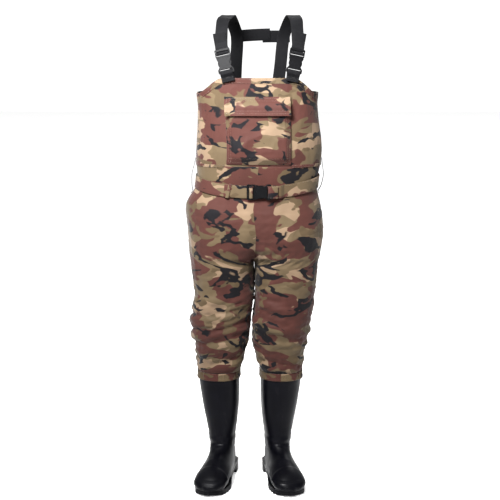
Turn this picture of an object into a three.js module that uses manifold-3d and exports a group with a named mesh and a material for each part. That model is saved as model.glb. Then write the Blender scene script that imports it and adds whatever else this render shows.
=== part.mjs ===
// Chest waders, standing as they are worn: camouflage fabric bib and legs, elastic webbing braces with
// side-release buckles, a waist belt, a chest pocket with a flap, and moulded boots.
// Millimetres, +Z up. The wearer faces -Y, so the wearer's left is +X. The origin is on the ground, below the
// middle of the object's box.
import * as THREE from "three";
import { mergeVertices } from "three/addons/utils/BufferGeometryUtils.js";
import Module from "manifold-3d";

const wasm = await Module();
wasm.setup();

// ---------------------------------------------------------------------------------------------------------
// Driving dimensions
// ---------------------------------------------------------------------------------------------------------

const clearance = 0.4; // between pieces that touch
const fabric = 1.5; // thickness of the coated cloth

// Heights above the ground, from the boots up
const ankleHeight = 120;
const bootHeight = 345;
const cuffLap = 18; // the cuff laps this far over the boot
const cuffWidth = 25;
const kneeHeight = 523;
const crotchHeight = 700;
const hipRise = 100; // from the crotch to the widest part of the hips
const beltRise = 135; // from there to the middle of the belt in front
const beltSideRise = 20; // the belt hangs this much higher at the sides
const beltBackRise = 14;
const seamRise = 75; // from the belt to the seam between the legs and the bib
const bibLength = 263; // from that seam to the bib's top edge
const sideDrop = 49; // the sides and the back end this far below the bib's top edge
const strapRise = 182; // the shoulder straps reach this far above it

const cuffBottom = bootHeight - cuffLap;
const cuffTop = cuffBottom + cuffWidth;
const hipHeight = crotchHeight + hipRise;
const beltHeight = hipHeight + beltRise;
const bibSeamHeight = beltHeight + seamRise;
const chestHeight = bibSeamHeight + 60;
const bibTopHeight = bibSeamHeight + bibLength;
const sideTopHeight = bibTopHeight - sideDrop;
const shoulderHeight = bibTopHeight + strapRise;

// Half widths and half depths of the body
const chestHalfWidth = 191;
const bibTopHalfWidth = 184;
const waistHalfWidth = 184;
const hipHalfWidth = 210;
const chestFront = 124;
const chestBack = 111;
const bibTopFront = 101;
const waistFront = 116;
const waistBack = 104;
const hipFront = 126;
const hipBack = 136;
const seamGap = 0.6; // between two cloth panels that are sewn together

// Legs, from the middle of the stance to the middle of each leg
const kneeHalfWidth = 93;
const kneeSpread = 97;
const shinHalfWidth = 84;
const legGap = 3; // half the gap between the thighs

// Boots
const bootSpread = 88; // from the middle of the stance to each ankle
const toeOut = THREE.MathUtils.degToRad(12);
const bootTopHalfWidth = 64;
const bootTopHalfDepth = 68;
const shaftLean = 12; // the top of the shaft stands this far outside the ankle
const calfBack = 8; // and this far behind it
const bootWall = 2.6;
const footFront = 206; // toe and heel from the ankle's axis
const footBack = 84;
const footHalfWidth = 52;
const soleOverhang = 3;
const treadDepth = 4.5;
const treadGroove = 7;
const treadPitch = 17;
const insoleThickness = 4;
const insoleSetback = 16; // from the toe of the sole to the toe of the insole

// Webbing and buckles
const webbing = 38;
const webbingThickness = 1.6;
const bandThickness = 2; // the cloth belt, sewn double

// Chest pocket
const pocketHalfWidth = 97;
const pocketLength = 172; // from the pouch's mouth to its bottom
const pocketBulge = 15;
const mouthBulge = 11;
const flapBelowTop = 55; // from the bib's top edge to the flap's seam
const flapAboveMouth = 30; // from the flap's seam to the pouch's mouth
const flapDrop = 56;
const pocketMiddle = 8; // the pocket sits this far to the wearer's left
const tapeThickness = 0.8;

const flapTop = bibTopHeight - flapBelowTop;
const pocketMouth = flapTop - flapAboveMouth;
const pocketBottom = pocketMouth - pocketLength;

// ---------------------------------------------------------------------------------------------------------
// Building closed solids
// ---------------------------------------------------------------------------------------------------------

const vec = (x, y, z) => new THREE.Vector3(x, y, z);
const lerp = THREE.MathUtils.lerp;
const smooth = (x) => THREE.MathUtils.smoothstep(x, 0, 1);
const range = (count, make) => Array.from({ length: count }, (_, i) => make(i));

/** A smooth function through [position, value] stations in rising order, flat beyond both ends. */
function profile(stations) {
  const slopes = stations.map((_, i) => {
    const before = stations[Math.max(i - 1, 0)];
    const after = stations[Math.min(i + 1, stations.length - 1)];
    return (after[1] - before[1]) / (after[0] - before[0]);
  });
  return (at) => {
    if (at <= stations[0][0]) return stations[0][1];
    const i = stations.findIndex(([position]) => position > at) - 1;
    if (i < 0) return stations.at(-1)[1];
    const [[p, a], [q, b]] = [stations[i], stations[i + 1]];
    const t = (at - p) / (q - p);
    const bend = (1 - t) * slopes[i] - t * slopes[i + 1];
    const straight = ((1 - 2 * t) * (b - a)) / (q - p);
    return lerp(a, b, t) + t * (1 - t) * (q - p) * (bend - straight);
  };
}

/** A geometry from corner points and triangles, with its faces turned to point out. */
function closedGeometry(points, triangles) {
  const volume = triangles.reduce((sum, [a, b, c]) => {
    return sum + points[a].dot(vec(0, 0, 0).crossVectors(points[b], points[c]));
  }, 0);
  const facing = triangles.map(([a, b, c]) => (volume < 0 ? [a, c, b] : [a, b, c]));
  return new THREE.BufferGeometry().setFromPoints(points).setIndex(facing.flat());
}

/**
 * The solid between an outer and an inner grid of points, outer[row][column]. A loop joins the last column to
 * the first. Tips are two more points, outer and inner, that close the last row of a loop.
 */
function skin(outer, inner, { loop = false, tips = null } = {}) {
  const rows = outer.length;
  const columns = outer[0].length;
  const points = [...outer.flat(), ...inner.flat(), ...(tips ?? [])];
  const out = (r, c) => r * columns + (c % columns);
  const into = (r, c) => rows * columns + out(r, c);
  const tip = 2 * rows * columns;
  const triangles = [];
  const quad = (a, b, c, d) => triangles.push([a, b, c], [a, c, d]);
  const last = loop ? columns : columns - 1;
  for (let c = 0; c < last; c++) {
    for (let r = 0; r < rows - 1; r++) {
      quad(out(r, c), out(r, c + 1), out(r + 1, c + 1), out(r + 1, c));
      quad(into(r, c), into(r + 1, c), into(r + 1, c + 1), into(r, c + 1));
    }
    quad(out(0, c), into(0, c), into(0, c + 1), out(0, c + 1));
    if (tips) {
      triangles.push([out(rows - 1, c), out(rows - 1, c + 1), tip]);
      triangles.push([into(rows - 1, c + 1), into(rows - 1, c), tip + 1]);
    } else {
      quad(out(rows - 1, c), out(rows - 1, c + 1), into(rows - 1, c + 1), into(rows - 1, c));
    }
  }
  for (let r = 0; !loop && r < rows - 1; r++) {
    quad(out(r, 0), out(r + 1, 0), into(r + 1, 0), into(r, 0));
    quad(out(r, last), into(r, last), into(r + 1, last), out(r + 1, last));
  }
  return closedGeometry(points, triangles);
}

/** A sheet whose point at (u, v) and a depth below its outer face is given by a function. */
function sheet(pointAt, columns, rows, thickness, loop = false) {
  const grid = (depth) =>
    range(rows + 1, (r) =>
      range(loop ? columns : columns + 1, (c) => pointAt(c / columns, r / rows, depth)),
    );
  return skin(grid(0), grid(thickness), { loop });
}

/** A flat band that follows points, each with the direction of the band's width there. */
function band(points, across, width, thickness) {
  const side = (sign) =>
    points.map((point, i) => {
      const along = points[Math.min(i + 1, points.length - 1)]
        .clone()
        .sub(points[Math.max(i - 1, 0)]);
      const wide = across[i].clone().addScaledVector(along, -along.dot(across[i]) / along.lengthSq());
      const normal = vec(0, 0, 0).crossVectors(along, wide).setLength((sign * thickness) / 2);
      wide.setLength(width / 2);
      return [-1, 1].map((edge) => point.clone().addScaledVector(wide, edge).add(normal));
    });
  return skin(side(1), side(-1));
}

/** Points along a smooth curve through a few given ones. */
function along(through, count) {
  return new THREE.CatmullRomCurve3(through, false, "centripetal").getSpacedPoints(count);
}

/** A three.js geometry as a manifold-3d solid. */
function toSolid(geometry) {
  const bare = geometry.clone();
  bare.deleteAttribute("normal");
  bare.deleteAttribute("uv");
  const merged = mergeVertices(bare, 1e-4);
  return new wasm.Manifold(
    new wasm.Mesh({
      numProp: 3,
      vertProperties: merged.attributes.position.array,
      triVerts: new Uint32Array(merged.index.array),
    }),
  );
}

/** A manifold-3d solid as a three.js geometry. */
function toGeometry(solid) {
  const { vertProperties, triVerts } = solid.getMesh();
  return new THREE.BufferGeometry()
    .setAttribute("position", new THREE.BufferAttribute(vertProperties, 3))
    .setIndex(new THREE.BufferAttribute(triVerts, 1));
}

/** A box from its lowest to its highest corner. */
function block(low, high) {
  const size = high.clone().sub(low);
  const middle = low.clone().add(high).multiplyScalar(0.5);
  return new THREE.BoxGeometry(size.x, size.y, size.z).translate(middle.x, middle.y, middle.z);
}

/** An outline in the XZ plane, extruded along Y from -half to +half. */
function plate(outline, half, holes = []) {
  const shape = new THREE.Shape(outline.map(([x, z]) => new THREE.Vector2(x, z)));
  shape.holes = holes.map((hole) => new THREE.Path(hole.map(([x, z]) => new THREE.Vector2(x, z))));
  const geometry = new THREE.ExtrudeGeometry(shape, { depth: 2 * half, bevelEnabled: false });
  return geometry.rotateX(Math.PI / 2).translate(0, half, 0);
}

const rectangle = (x0, z0, x1, z1) => [[x0, z0], [x1, z0], [x1, z1], [x0, z1]];
const mirrored = (outline) => [...outline, ...outline.map(([x, z]) => [-x, z]).reverse()];

// ---------------------------------------------------------------------------------------------------------
// Materials
// ---------------------------------------------------------------------------------------------------------

const finish = (color, roughness) => new THREE.MeshStandardMaterial({ color, roughness, metalness: 0 });
const camouflage = finish(0x8a7350, 0.85);
const bootRubber = finish(0x26272c, 0.55);
const blackWebbing = finish(0x222226, 0.9);
const buckleNylon = finish(0x2b2c31, 0.45);
const hookTape = finish(0x4b4634, 0.95);
const liningFelt = finish(0x55524a, 0.95);

const waders = new THREE.Group();

function add(name, geometry, material, parent = waders) {
  const mesh = new THREE.Mesh(geometry, material);
  mesh.name = name;
  parent.add(mesh);
  return mesh;
}

// ---------------------------------------------------------------------------------------------------------
// The body's shape: one closed section at each height, which parts into two legs below the waist
// ---------------------------------------------------------------------------------------------------------

const waistHeight = beltHeight + beltSideRise / 2;
const forkHeight = beltHeight - webbing; // the two legs' sections part below this

// The stance: how far the middle of the body stands to the wearer's left at each height
const stance = profile([
  [bootHeight, -20], [kneeHeight - 80, -19], [kneeHeight, -14], [(kneeHeight + crotchHeight) / 2, -5],
  [crotchHeight, -7], [hipHeight, -1], [forkHeight - 15, -10], [waistHeight, 1],
  [bibSeamHeight, 6], [chestHeight, 8], [sideTopHeight, 2], [bibTopHeight, 5],
]);

const bodyHalfWidth = profile([
  [crotchHeight, hipHalfWidth - 12], [hipHeight, hipHalfWidth], [forkHeight - 15, hipHalfWidth - 3],
  [waistHeight, waistHalfWidth], [bibSeamHeight, chestHalfWidth], [chestHeight, chestHalfWidth],
  [sideTopHeight - 60, bibTopHalfWidth - 2], [bibTopHeight, bibTopHalfWidth],
]);
const bodyFront = profile([
  [crotchHeight, hipFront - 16], [hipHeight, hipFront], [forkHeight, waistFront + 5],
  [waistHeight, waistFront], [bibSeamHeight, chestFront - 3], [chestHeight, chestFront],
  [bibTopHeight, bibTopFront],
]);
const bodyBack = profile([
  [crotchHeight, hipBack - 16], [hipHeight, hipBack], [forkHeight, waistBack + 12],
  [waistHeight, waistBack], [bibSeamHeight, chestBack - 3], [chestHeight, chestBack],
  [sideTopHeight, chestBack - 4],
]);

/** The exponent of the section's outline: 2 is an ellipse, and more is squarer. */
const roundness = profile([[crotchHeight, 2.5], [waistHeight, 2.6], [chestHeight, 2.8], [bibTopHeight, 3.2]]);

/** The cosine or sine of a turn, bent so that the outline that they draw has a roundness. */
const bent = (value, exponent) => Math.sign(value) * Math.abs(value) ** (2 / exponent);

/** A point on the body's section. Turn 0 is the wearer's left side, and a quarter turn is the back. */
function bodyPoint(turn, z, outset = 0) {
  const angle = 2 * Math.PI * turn;
  const depth = Math.sin(angle) < 0 ? bodyFront(z) : bodyBack(z);
  const x = stance(z) + (bodyHalfWidth(z) + outset) * bent(Math.cos(angle), roundness(z));
  return vec(x, (depth + outset) * bent(Math.sin(angle), roundness(z)), z);
}

/** The point of the body's front, or of its back, at a distance x from its middle. */
function bodyFaceAt(x, z, outset = 0, facing = -1) {
  const depth = (facing < 0 ? bodyFront(z) : bodyBack(z)) + outset;
  const share = Math.min(1, Math.abs(x) / (bodyHalfWidth(z) + outset));
  const power = roundness(z);
  return vec(stance(z) + x, facing * depth * (1 - share ** power) ** (1 / power), z);
}

/** The direction across a webbing that lies flat on the body at a distance x from the part's middle plane. */
function bodyAcross(x, z, facing = -1) {
  const low = bodyFaceAt(x - stance(z) - webbing / 2, z, 0, facing);
  return bodyFaceAt(x - stance(z) + webbing / 2, z, 0, facing).sub(low).normalize();
}

// ---------------------------------------------------------------------------------------------------------
// Bib: front and back panels, with a facing and an elastic inside their top edges
// ---------------------------------------------------------------------------------------------------------

const facingDepth = 30;
const elasticWidth = 25;
const liningThickness = 1.2;
const [leftSide, backMiddle, rightSide] = [0, 0.25, 0.5];
const seamTurn = seamGap / (2 * Math.PI * chestHalfWidth);

/** The front panel's top edge: level between the buckles, then falling to the side seams. */
function bibEdge(turn) {
  const level = 0.56; // share of the half width that is level
  const x = Math.abs(bent(Math.cos(2 * Math.PI * turn), roundness(bibTopHeight)));
  return lerp(bibTopHeight, sideTopHeight, smooth((x - level) / (1 - level)));
}

/** A panel between two turns and two edges, at a depth below the body's outer face. */
function bodyPanel({ from, to, bottom, top, depth = 0, thickness = fabric, columns, rows }) {
  const point = (u, v, inward) => {
    const turn = lerp(from, to, u);
    return bodyPoint(turn, lerp(bottom(turn), top(turn), v), -depth - inward);
  };
  return sheet(point, columns, rows, thickness);
}

function buildBib() {
  const bottom = () => bibSeamHeight + seamGap / 2;
  const front = { from: rightSide + seamTurn, to: 1 - seamTurn };
  const back = { from: leftSide + seamTurn, to: rightSide - seamTurn };
  const backEdge = () => sideTopHeight;
  const lining = fabric + clearance;
  add("bib_front_panel", bodyPanel({ ...front, bottom, top: bibEdge, columns: 20, rows: 6 }), camouflage);
  add("bib_back_panel", bodyPanel({ ...back, bottom, top: backEdge, columns: 16, rows: 5 }), camouflage);
  const facing = {
    ...front, depth: lining, thickness: liningThickness, columns: 20, rows: 1,
    bottom: (turn) => bibEdge(turn) - facingDepth,
    top: (turn) => bibEdge(turn) - clearance,
  };
  add("bib_front_facing", bodyPanel(facing), camouflage);
  const elastic = {
    ...back, depth: lining, thickness: liningThickness, columns: 16, rows: 1,
    bottom: () => sideTopHeight - elasticWidth,
    top: () => sideTopHeight - clearance,
  };
  add("back_top_elastic", bodyPanel(elastic), blackWebbing);
}

// ---------------------------------------------------------------------------------------------------------
// Chest pocket: a pouch open at the top, its flap, and the hook-and-loop tape between them
// ---------------------------------------------------------------------------------------------------------

/** How far the pouch stands out at a share u across and a height z: least at its sewn edges. */
function pouchOut(u, z) {
  const edge = 0.09; // share of the width over which the sides rise
  const sides = smooth(Math.min(u, 1 - u) / edge);
  const foot = smooth((z - pocketBottom) / 28);
  const bulge = lerp(pocketBulge, mouthBulge, smooth((z - pocketBottom) / (pocketMouth - pocketBottom)));
  return clearance + fabric + (bulge - clearance - fabric) * sides * foot;
}

function pocketX(u, spread = 0) {
  return pocketMiddle - stance(chestHeight) + (2 * u - 1) * (pocketHalfWidth + spread);
}

function buildPocket() {
  const pouch = (u, v, depth) => {
    const z = lerp(pocketBottom, pocketMouth, v);
    return bodyFaceAt(pocketX(u), z, pouchOut(u, z) - depth);
  };
  add("chest_pocket_pouch", sheet(pouch, 22, 8, fabric), camouflage);

  const tapeHalfWidth = 30;
  const tapeTop = flapTop - flapDrop + 24;
  const tapeBottom = flapTop - flapDrop + 6;
  const loopOut = mouthBulge + 1.5 + tapeThickness + clearance;
  const hookOut = loopOut + tapeThickness + clearance;
  const tape = (out) => (u, v, depth) =>
    bodyFaceAt(pocketX(0.5) + (2 * u - 1) * tapeHalfWidth, lerp(tapeBottom, tapeTop, v), out - depth);
  add("pocket_loop_tape", sheet(tape(loopOut), 6, 1, tapeThickness), hookTape);
  add("flap_hook_tape", sheet(tape(hookOut), 6, 1, tapeThickness), hookTape);

  const flapOut = hookOut + fabric + clearance;
  const flap = (u, v, depth) => {
    const z = lerp(flapTop - flapDrop, flapTop, v);
    const rise = smooth((flapTop - z) / (flapTop - pocketMouth));
    const spread = 2;
    return bodyFaceAt(pocketX(u, spread), z, lerp(fabric + clearance, flapOut, rise) - depth);
  };
  add("chest_pocket_flap", sheet(flap, 14, 6, fabric), camouflage);
}

// ---------------------------------------------------------------------------------------------------------
// Boots: a moulded upper on a cleated outsole, an insole, and the cloth cuff that holds the upper to the leg
// ---------------------------------------------------------------------------------------------------------

const soleTop = profile([
  [-footFront, 22], [-footFront + 60, 16], [-30, 23], [20, 29], [footBack, 31],
]);
const footWidth = profile([
  [-footFront + 3, 0.1], [-footFront + 10, 0.5], [-footFront + 30, 0.81], [-footFront + 66, 0.97],
  [-footFront + 90, 1], [-60, 0.8], [-10, 0.69], [30, 0.7], [footBack - 24, 0.66], [footBack - 8, 0.42],
  [footBack - 2, 0.12],
]);

/** The upper's rings: front and back points in side view, and the half width between them. */
const upperRings = [
  [-bootTopHalfDepth + calfBack, bootHeight, bootTopHalfDepth + calfBack, bootHeight, bootTopHalfWidth],
  [-bootTopHalfDepth + calfBack + 4, 290, bootTopHalfDepth + calfBack - 3, 290, bootTopHalfWidth - 3.5],
  [-bootTopHalfDepth + calfBack + 7, 235, bootTopHalfDepth + calfBack - 6, 235, bootTopHalfWidth - 8],
  [-50, 185, 65, 183, 49],
  [-50, 146, 60, 140, 42],
  [-54, ankleHeight, 60, 104, 38.5],
  [-70, 106, 66, 68, 36.5],
  [-92, 96, 76, 42, 37],
  [-118, 87, 66, 26, 40],
  [-144, 76, 10, 22, 45],
  [-166, 66, -60, 18, 49],
  [-184, 54, -115, 15, 50],
  [-197, 41, -160, 15, 44],
  [-footFront + 1, 30, -190, 18, 28],
];

/** How far outwards the shaft's middle stands at a height. */
const shaftOut = profile([[ankleHeight - 20, 0], [ankleHeight + 60, 4], [bootHeight, shaftLean]]);

const sectionPower = 2.25; // roundness of the boot's sections
const soleBond = 1.2; // gap between the upper and the outsole

function upperRing([frontY, frontZ, backY, backZ, halfWidth], side, depth) {
  const count = 20;
  const reach = Math.hypot(frontY - backY, frontZ - backZ) / 2;
  return range(count, (i) => {
    const angle = (2 * Math.PI * i) / count;
    const lengthwise = (bent(Math.cos(angle), sectionPower) * (reach - depth)) / reach;
    const y = lerp(backY, frontY, (1 + lengthwise) / 2);
    const z = lerp(backZ, frontZ, (1 + lengthwise) / 2);
    const x = (halfWidth - depth) * bent(Math.sin(angle), sectionPower) + side * shaftOut(z);
    return vec(x, y, Math.max(z, soleTop(y) + soleBond + depth));
  });
}

const upperRows = (side, depth) => upperRings.map((ring) => upperRing(ring, side, depth));
const upperTip = (depth) => vec(0, -footFront + 1.4 * depth, soleTop(-footFront) + soleBond + 4 + 0.4 * depth);

function buildUpper(side) {
  const tips = [upperTip(0), upperTip(bootWall)];
  return skin(upperRows(side, 0), upperRows(side, bootWall), { loop: true, tips });
}

/** The room inside an upper, as one closed solid. */
function upperRoom(side) {
  const depth = bootWall + 3 * clearance;
  const rows = upperRows(side, depth);
  const columns = rows[0].length;
  const points = [...rows.flat(), upperTip(depth), vec(side * shaftLean, calfBack, bootHeight)];
  const triangles = [];
  for (let c = 0; c < columns; c++) {
    const next = (c + 1) % columns;
    for (let r = 0; r < rows.length - 1; r++) {
      const [a, b, low] = [r * columns + c, r * columns + next, columns];
      triangles.push([a, b, b + low], [a, b + low, a + low]);
    }
    const toe = (rows.length - 1) * columns;
    triangles.push([toe + c, toe + next, rows.length * columns]);
    triangles.push([next, c, rows.length * columns + 1]);
  }
  return closedGeometry(points, triangles);
}

/** The foot's outline, widened by an amount, as points from the toe round to the toe. */
function footOutline(grow) {
  const steps = 16;
  const half = range(steps + 1, (i) => {
    const share = (1 - Math.cos((Math.PI * i) / steps)) / 2;
    const y = lerp(-footFront - grow, footBack + grow, share);
    const inside = THREE.MathUtils.clamp(y, -footFront + 3, footBack - 2);
    return [footHalfWidth * footWidth(inside) + grow, y];
  });
  return mirrored(half);
}

/** A foot-shaped slab between two heights. */
const footSlab = (grow, low, high) => {
  const shape = new THREE.Shape(footOutline(grow).map(([x, y]) => new THREE.Vector2(x, y)));
  return new THREE.ExtrudeGeometry(shape, { depth: high - low, bevelEnabled: false }).translate(0, 0, low);
};

function buildOutsole() {
  const heelFront = 24;
  const archHeight = 13;
  const toeSpring = 6;
  const top = range(13, (i) => {
    const y = lerp(-footFront - soleOverhang, footBack + soleOverhang, i / 12);
    return [y, soleTop(y)];
  });
  const underside = [
    [footBack + soleOverhang, 4], [footBack, 0], [heelFront, 0], [heelFront - 4, archHeight],
    [-52, archHeight], [-68, 0], [-footFront + 38, 0], [-footFront - soleOverhang, toeSpring],
  ];
  const side = new THREE.Shape([...top, ...underside].map(([y, z]) => new THREE.Vector2(y, z)));
  const wide = 2 * (footHalfWidth + soleOverhang + 5);
  const length = new THREE.ExtrudeGeometry(side, { depth: wide, bevelEnabled: false })
    .translate(0, 0, -wide / 2)
    .applyMatrix4(new THREE.Matrix4().makeBasis(vec(0, 1, 0), vec(0, 0, 1), vec(1, 0, 0)));
  let sole = toSolid(length).intersect(toSolid(footSlab(soleOverhang, -1, 40)));
  const grooves = [
    ...range(6, (i) => -footFront + 32 + i * treadPitch),
    ...range(2, (i) => heelFront + 18 + i * treadPitch),
  ];
  for (const y of grooves) {
    const groove = block(vec(-wide, y, -1), vec(wide, y + treadGroove, treadDepth));
    sole = sole.subtract(toSolid(groove));
  }
  return toGeometry(sole);
}

function buildInsole(side) {
  const lift = soleBond + bootWall + 3 * clearance + insoleThickness;
  const slab = (u, v, depth) => {
    const y = lerp(-footFront + insoleSetback, footBack, v);
    return vec(lerp(-footHalfWidth, footHalfWidth, u), y, soleTop(y) + lift - depth);
  };
  const room = toSolid(upperRoom(side));
  return toGeometry(room.intersect(toSolid(sheet(slab, 1, 12, insoleThickness))));
}

/** The cloth cuff, which laps over the boot's top edge. */
function buildCuff(side) {
  const point = (u, v, depth) => {
    const angle = 2 * Math.PI * u;
    const z = lerp(cuffBottom, cuffTop - clearance, v);
    const out = clearance + fabric - depth + 1.2;
    const x = side * shaftOut(bootHeight) + (bootTopHalfWidth + out) * bent(Math.sin(angle), sectionPower);
    return vec(x, calfBack + (bootTopHalfDepth + out) * bent(Math.cos(angle), sectionPower), z);
  };
  return sheet(point, 28, 2, fabric, true);
}

/** Turns a boot's own frame, whose origin is on the ground below the ankle, into the part's. */
function bootPlace(side) {
  const place = new THREE.Matrix4().makeRotationZ(side * toeOut);
  return place.setPosition(stance(0) + side * bootSpread, 0, 0);
}

function buildBoots() {
  for (const [name, side] of [["left", 1], ["right", -1]]) {
    const boot = new THREE.Group();
    boot.applyMatrix4(bootPlace(side));
    waders.add(boot);
    add(`${name}_boot_upper`, buildUpper(side), bootRubber, boot);
    add(`${name}_boot_outsole`, buildOutsole(), bootRubber, boot);
    add(`${name}_boot_insole`, buildInsole(side), liningFelt, boot);
    add(`${name}_boot_cuff`, buildCuff(side), camouflage, boot);
  }
}

// ---------------------------------------------------------------------------------------------------------
// Legs: each has a front and a back panel, sewn at the inside and the outside of the leg
// ---------------------------------------------------------------------------------------------------------

const cuffMiddle = vec(shaftLean, calfBack, 0).applyMatrix4(new THREE.Matrix4().makeRotationZ(toeOut));
const legSpread = profile([
  [cuffTop, bootSpread + cuffMiddle.x], [cuffTop + 34, kneeSpread], [kneeHeight - 85, kneeSpread - 5],
  [kneeHeight, kneeSpread], [crotchHeight - 90, kneeSpread], [crotchHeight, (hipHalfWidth - 12) / 2],
  [crotchHeight + 50, 82], [hipHeight, 60], [forkHeight - 35, 18], [forkHeight, 0],
]);
const legOuter = profile([
  [cuffTop, bootSpread + cuffMiddle.x + bootTopHalfWidth + 2], [cuffTop + 34, kneeSpread + shinHalfWidth - 4],
  [kneeHeight - 85, kneeSpread - 5 + shinHalfWidth], [kneeHeight, kneeSpread + kneeHalfWidth],
  [crotchHeight - 90, kneeSpread + kneeHalfWidth], [crotchHeight, hipHalfWidth - 12],
]);
const legFront = profile([
  [cuffTop, bootTopHalfDepth + 2], [cuffTop + 34, 84], [kneeHeight - 85, 88], [kneeHeight, 98],
  [crotchHeight - 90, 100], [crotchHeight, hipFront - 16],
]);
const legBack = profile([
  [cuffTop, bootTopHalfDepth + 2], [cuffTop + 34, 85], [kneeHeight - 85, 89], [kneeHeight, 94],
  [crotchHeight - 90, 104], [crotchHeight, hipBack - 16],
]);
const legMiddleY = profile([[cuffTop, cuffMiddle.y], [kneeHeight, -4], [crotchHeight, 0]]);

/** The section of one leg at a height: its middle, half width and two half depths. */
function legSection(z) {
  const spread = legSpread(z);
  const outer = z < crotchHeight ? legOuter(z) : bodyHalfWidth(z);
  return {
    spread,
    halfWidth: Math.min(outer - spread, z < crotchHeight ? spread - legGap / 2 : Infinity),
    front: z < crotchHeight ? legFront(z) : bodyFront(z),
    back: z < crotchHeight ? legBack(z) : bodyBack(z),
    middleY: legMiddleY(z),
  };
}

/**
 * A point of a leg panel. At u = 0 it is on the inside seam, or on the body's middle seam above the crotch,
 * and at u = 1 on the outside seam.
 */
function legPoint(side, facing, u, z, depth) {
  const { spread, halfWidth, front, back, middleY } = legSection(z);
  const wide = halfWidth - depth;
  const power = z < crotchHeight ? roundness(crotchHeight) : roundness(z);
  const inner = Math.max(-1, (seamGap / 2 - spread) / wide);
  const start = Math.acos(Math.sign(inner) * Math.abs(inner) ** (power / 2));
  const seam = seamGap / halfWidth;
  const angle = lerp(Math.min(start, Math.PI - seam), seam, u);
  const deep = (facing < 0 ? front : back) - depth;
  const x = spread + wide * bent(Math.cos(angle), power);
  return vec(stance(z) + side * x, middleY + facing * deep * bent(Math.sin(angle), power), z);
}

/** The heights of the leg panels' rows, closest where the shape turns. */
const legRows = [
  ...range(2, (i) => cuffTop + 17 * i), ...range(6, (i) => lerp(cuffTop + 34, kneeHeight, i / 6)),
  ...range(4, (i) => lerp(kneeHeight, crotchHeight - 30, i / 4)),
  ...range(7, (i) => lerp(crotchHeight - 30, forkHeight - 30, i / 7)),
  ...range(5, (i) => lerp(forkHeight - 30, waistHeight + 15, i / 5)),
  waistHeight + 15, bibSeamHeight - seamGap / 2,
];

function buildLegs() {
  for (const [name, side] of [["left", 1], ["right", -1]]) {
    for (const [face, facing] of [["front", -1], ["back", 1]]) {
      const rows = legRows.length - 1;
      const point = (u, v, depth) => legPoint(side, facing, u, legRows[Math.round(v * rows)], depth);
      add(`${name}_leg_${face}_panel`, sheet(point, 10, rows, fabric), camouflage);
    }
  }
}

// ---------------------------------------------------------------------------------------------------------
// Side-release buckles. In a buckle's own frame Z runs from the socket's bar (0) to the top of the frame,
// X is its width, and -Y its front.
// ---------------------------------------------------------------------------------------------------------

const buckleHalfWidth = webbing / 2 + 4;
const buckleHalf = 5.5; // half the socket's thickness
const socketEnd = 38;
const cavityHalfWidth = webbing / 2 - 0.8;
const cavityHalf = 3.2;
const frameBase = socketEnd + clearance;
const frameBaseTop = 45;
const middleBar = [50, 53];
const topBar = [59, 63];
const frameTop = topBar[1] + 2;
const barHalf = 1.3;
const prongHalf = 2.5;
const prongTop = frameBase - 0.8;
const prongX = webbing / 2 - 5.5; // from the buckle's middle to the root of a prong

function buildSocket() {
  const outline = mirrored([
    [buckleHalfWidth - 2, -8], [buckleHalfWidth, -6], [buckleHalfWidth, 4], [buckleHalfWidth - 3, 7],
    [webbing / 2 - 2, 12], [webbing / 2 - 3, 19], [webbing / 2 - 2, 26], [webbing / 2 + 0.5, 32],
    [buckleHalfWidth - 1.5, 36], [buckleHalfWidth - 2, socketEnd],
  ]);
  const slot = rectangle(-webbing / 2 - 0.8, -3.5, webbing / 2 + 0.8, 4);
  const cavity = block(vec(-cavityHalfWidth, -cavityHalf, 9), vec(cavityHalfWidth, cavityHalf, socketEnd + 1));
  return toGeometry(toSolid(plate(outline, buckleHalf, [slot])).subtract(toSolid(cavity)));
}

const baseHalf = 4.5; // half the thickness of a frame's base

function buildFrame() {
  const inside = webbing / 2 + 0.8;
  const outline = mirrored([
    [buckleHalfWidth - 2.5, frameBase], [buckleHalfWidth, frameBase + 3], [buckleHalfWidth, frameTop - 2],
    [buckleHalfWidth - 2, frameTop],
  ]);
  const slots = [
    rectangle(-inside, frameBaseTop, inside, middleBar[0]),
    rectangle(-inside, middleBar[1], inside, topBar[0]),
  ];
  const ladder = toSolid(plate(outline, barHalf, slots));
  const baseOutline = mirrored([[buckleHalfWidth - 3, frameBase], [buckleHalfWidth - 2, frameBaseTop - 2]]);
  const base = plate(baseOutline, baseHalf);
  const guide = block(vec(-3, -prongHalf, 12), vec(3, prongHalf, frameBase + 1));
  return toGeometry(ladder.add(toSolid(base)).add(toSolid(guide)));
}

/** A prong: an arm from the frame's base, with a finger pad and a barb that catches in the socket. */
function buildProng(side) {
  const outline = [
    [prongX + 2.3, prongTop], [prongX + 2.9, 29.5], [webbing / 2 + 0.2, 28.5], [webbing / 2 + 1.2, 22],
    [webbing / 2 + 0.4, 15.5], [prongX + 1, 10.5], [prongX - 2.5, 11], [prongX - 0.5, 16],
    [prongX - 0.4, 27], [prongX - 2, prongTop],
  ].map(([x, z]) => [side * x, z]);
  return plate(side > 0 ? outline : outline.reverse(), prongHalf);
}

/** Builds a buckle in a group that stands at its bar and points at the top of its frame. */
function buildBuckle(name, prongs, bar, towards, acrossHint) {
  const up = towards.clone().sub(bar).normalize();
  const across = acrossHint.clone().addScaledVector(up, -acrossHint.dot(up)).normalize();
  const back = vec(0, 0, 0).crossVectors(up, across);
  const group = new THREE.Group();
  group.applyMatrix4(new THREE.Matrix4().makeBasis(across, back, up).setPosition(bar));
  waders.add(group);
  add(`${name}_socket`, buildSocket(), buckleNylon, group);
  add(`${name}_frame`, buildFrame(), buckleNylon, group);
  prongs.forEach((prong, i) => add(`${name}_prong_${prong}`, buildProng(i ? -1 : 1), buckleNylon, group));
  return group;
}

const acrossOf = (group) => vec(0, 0, 0).setFromMatrixColumn(group.matrix, 0);

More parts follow.
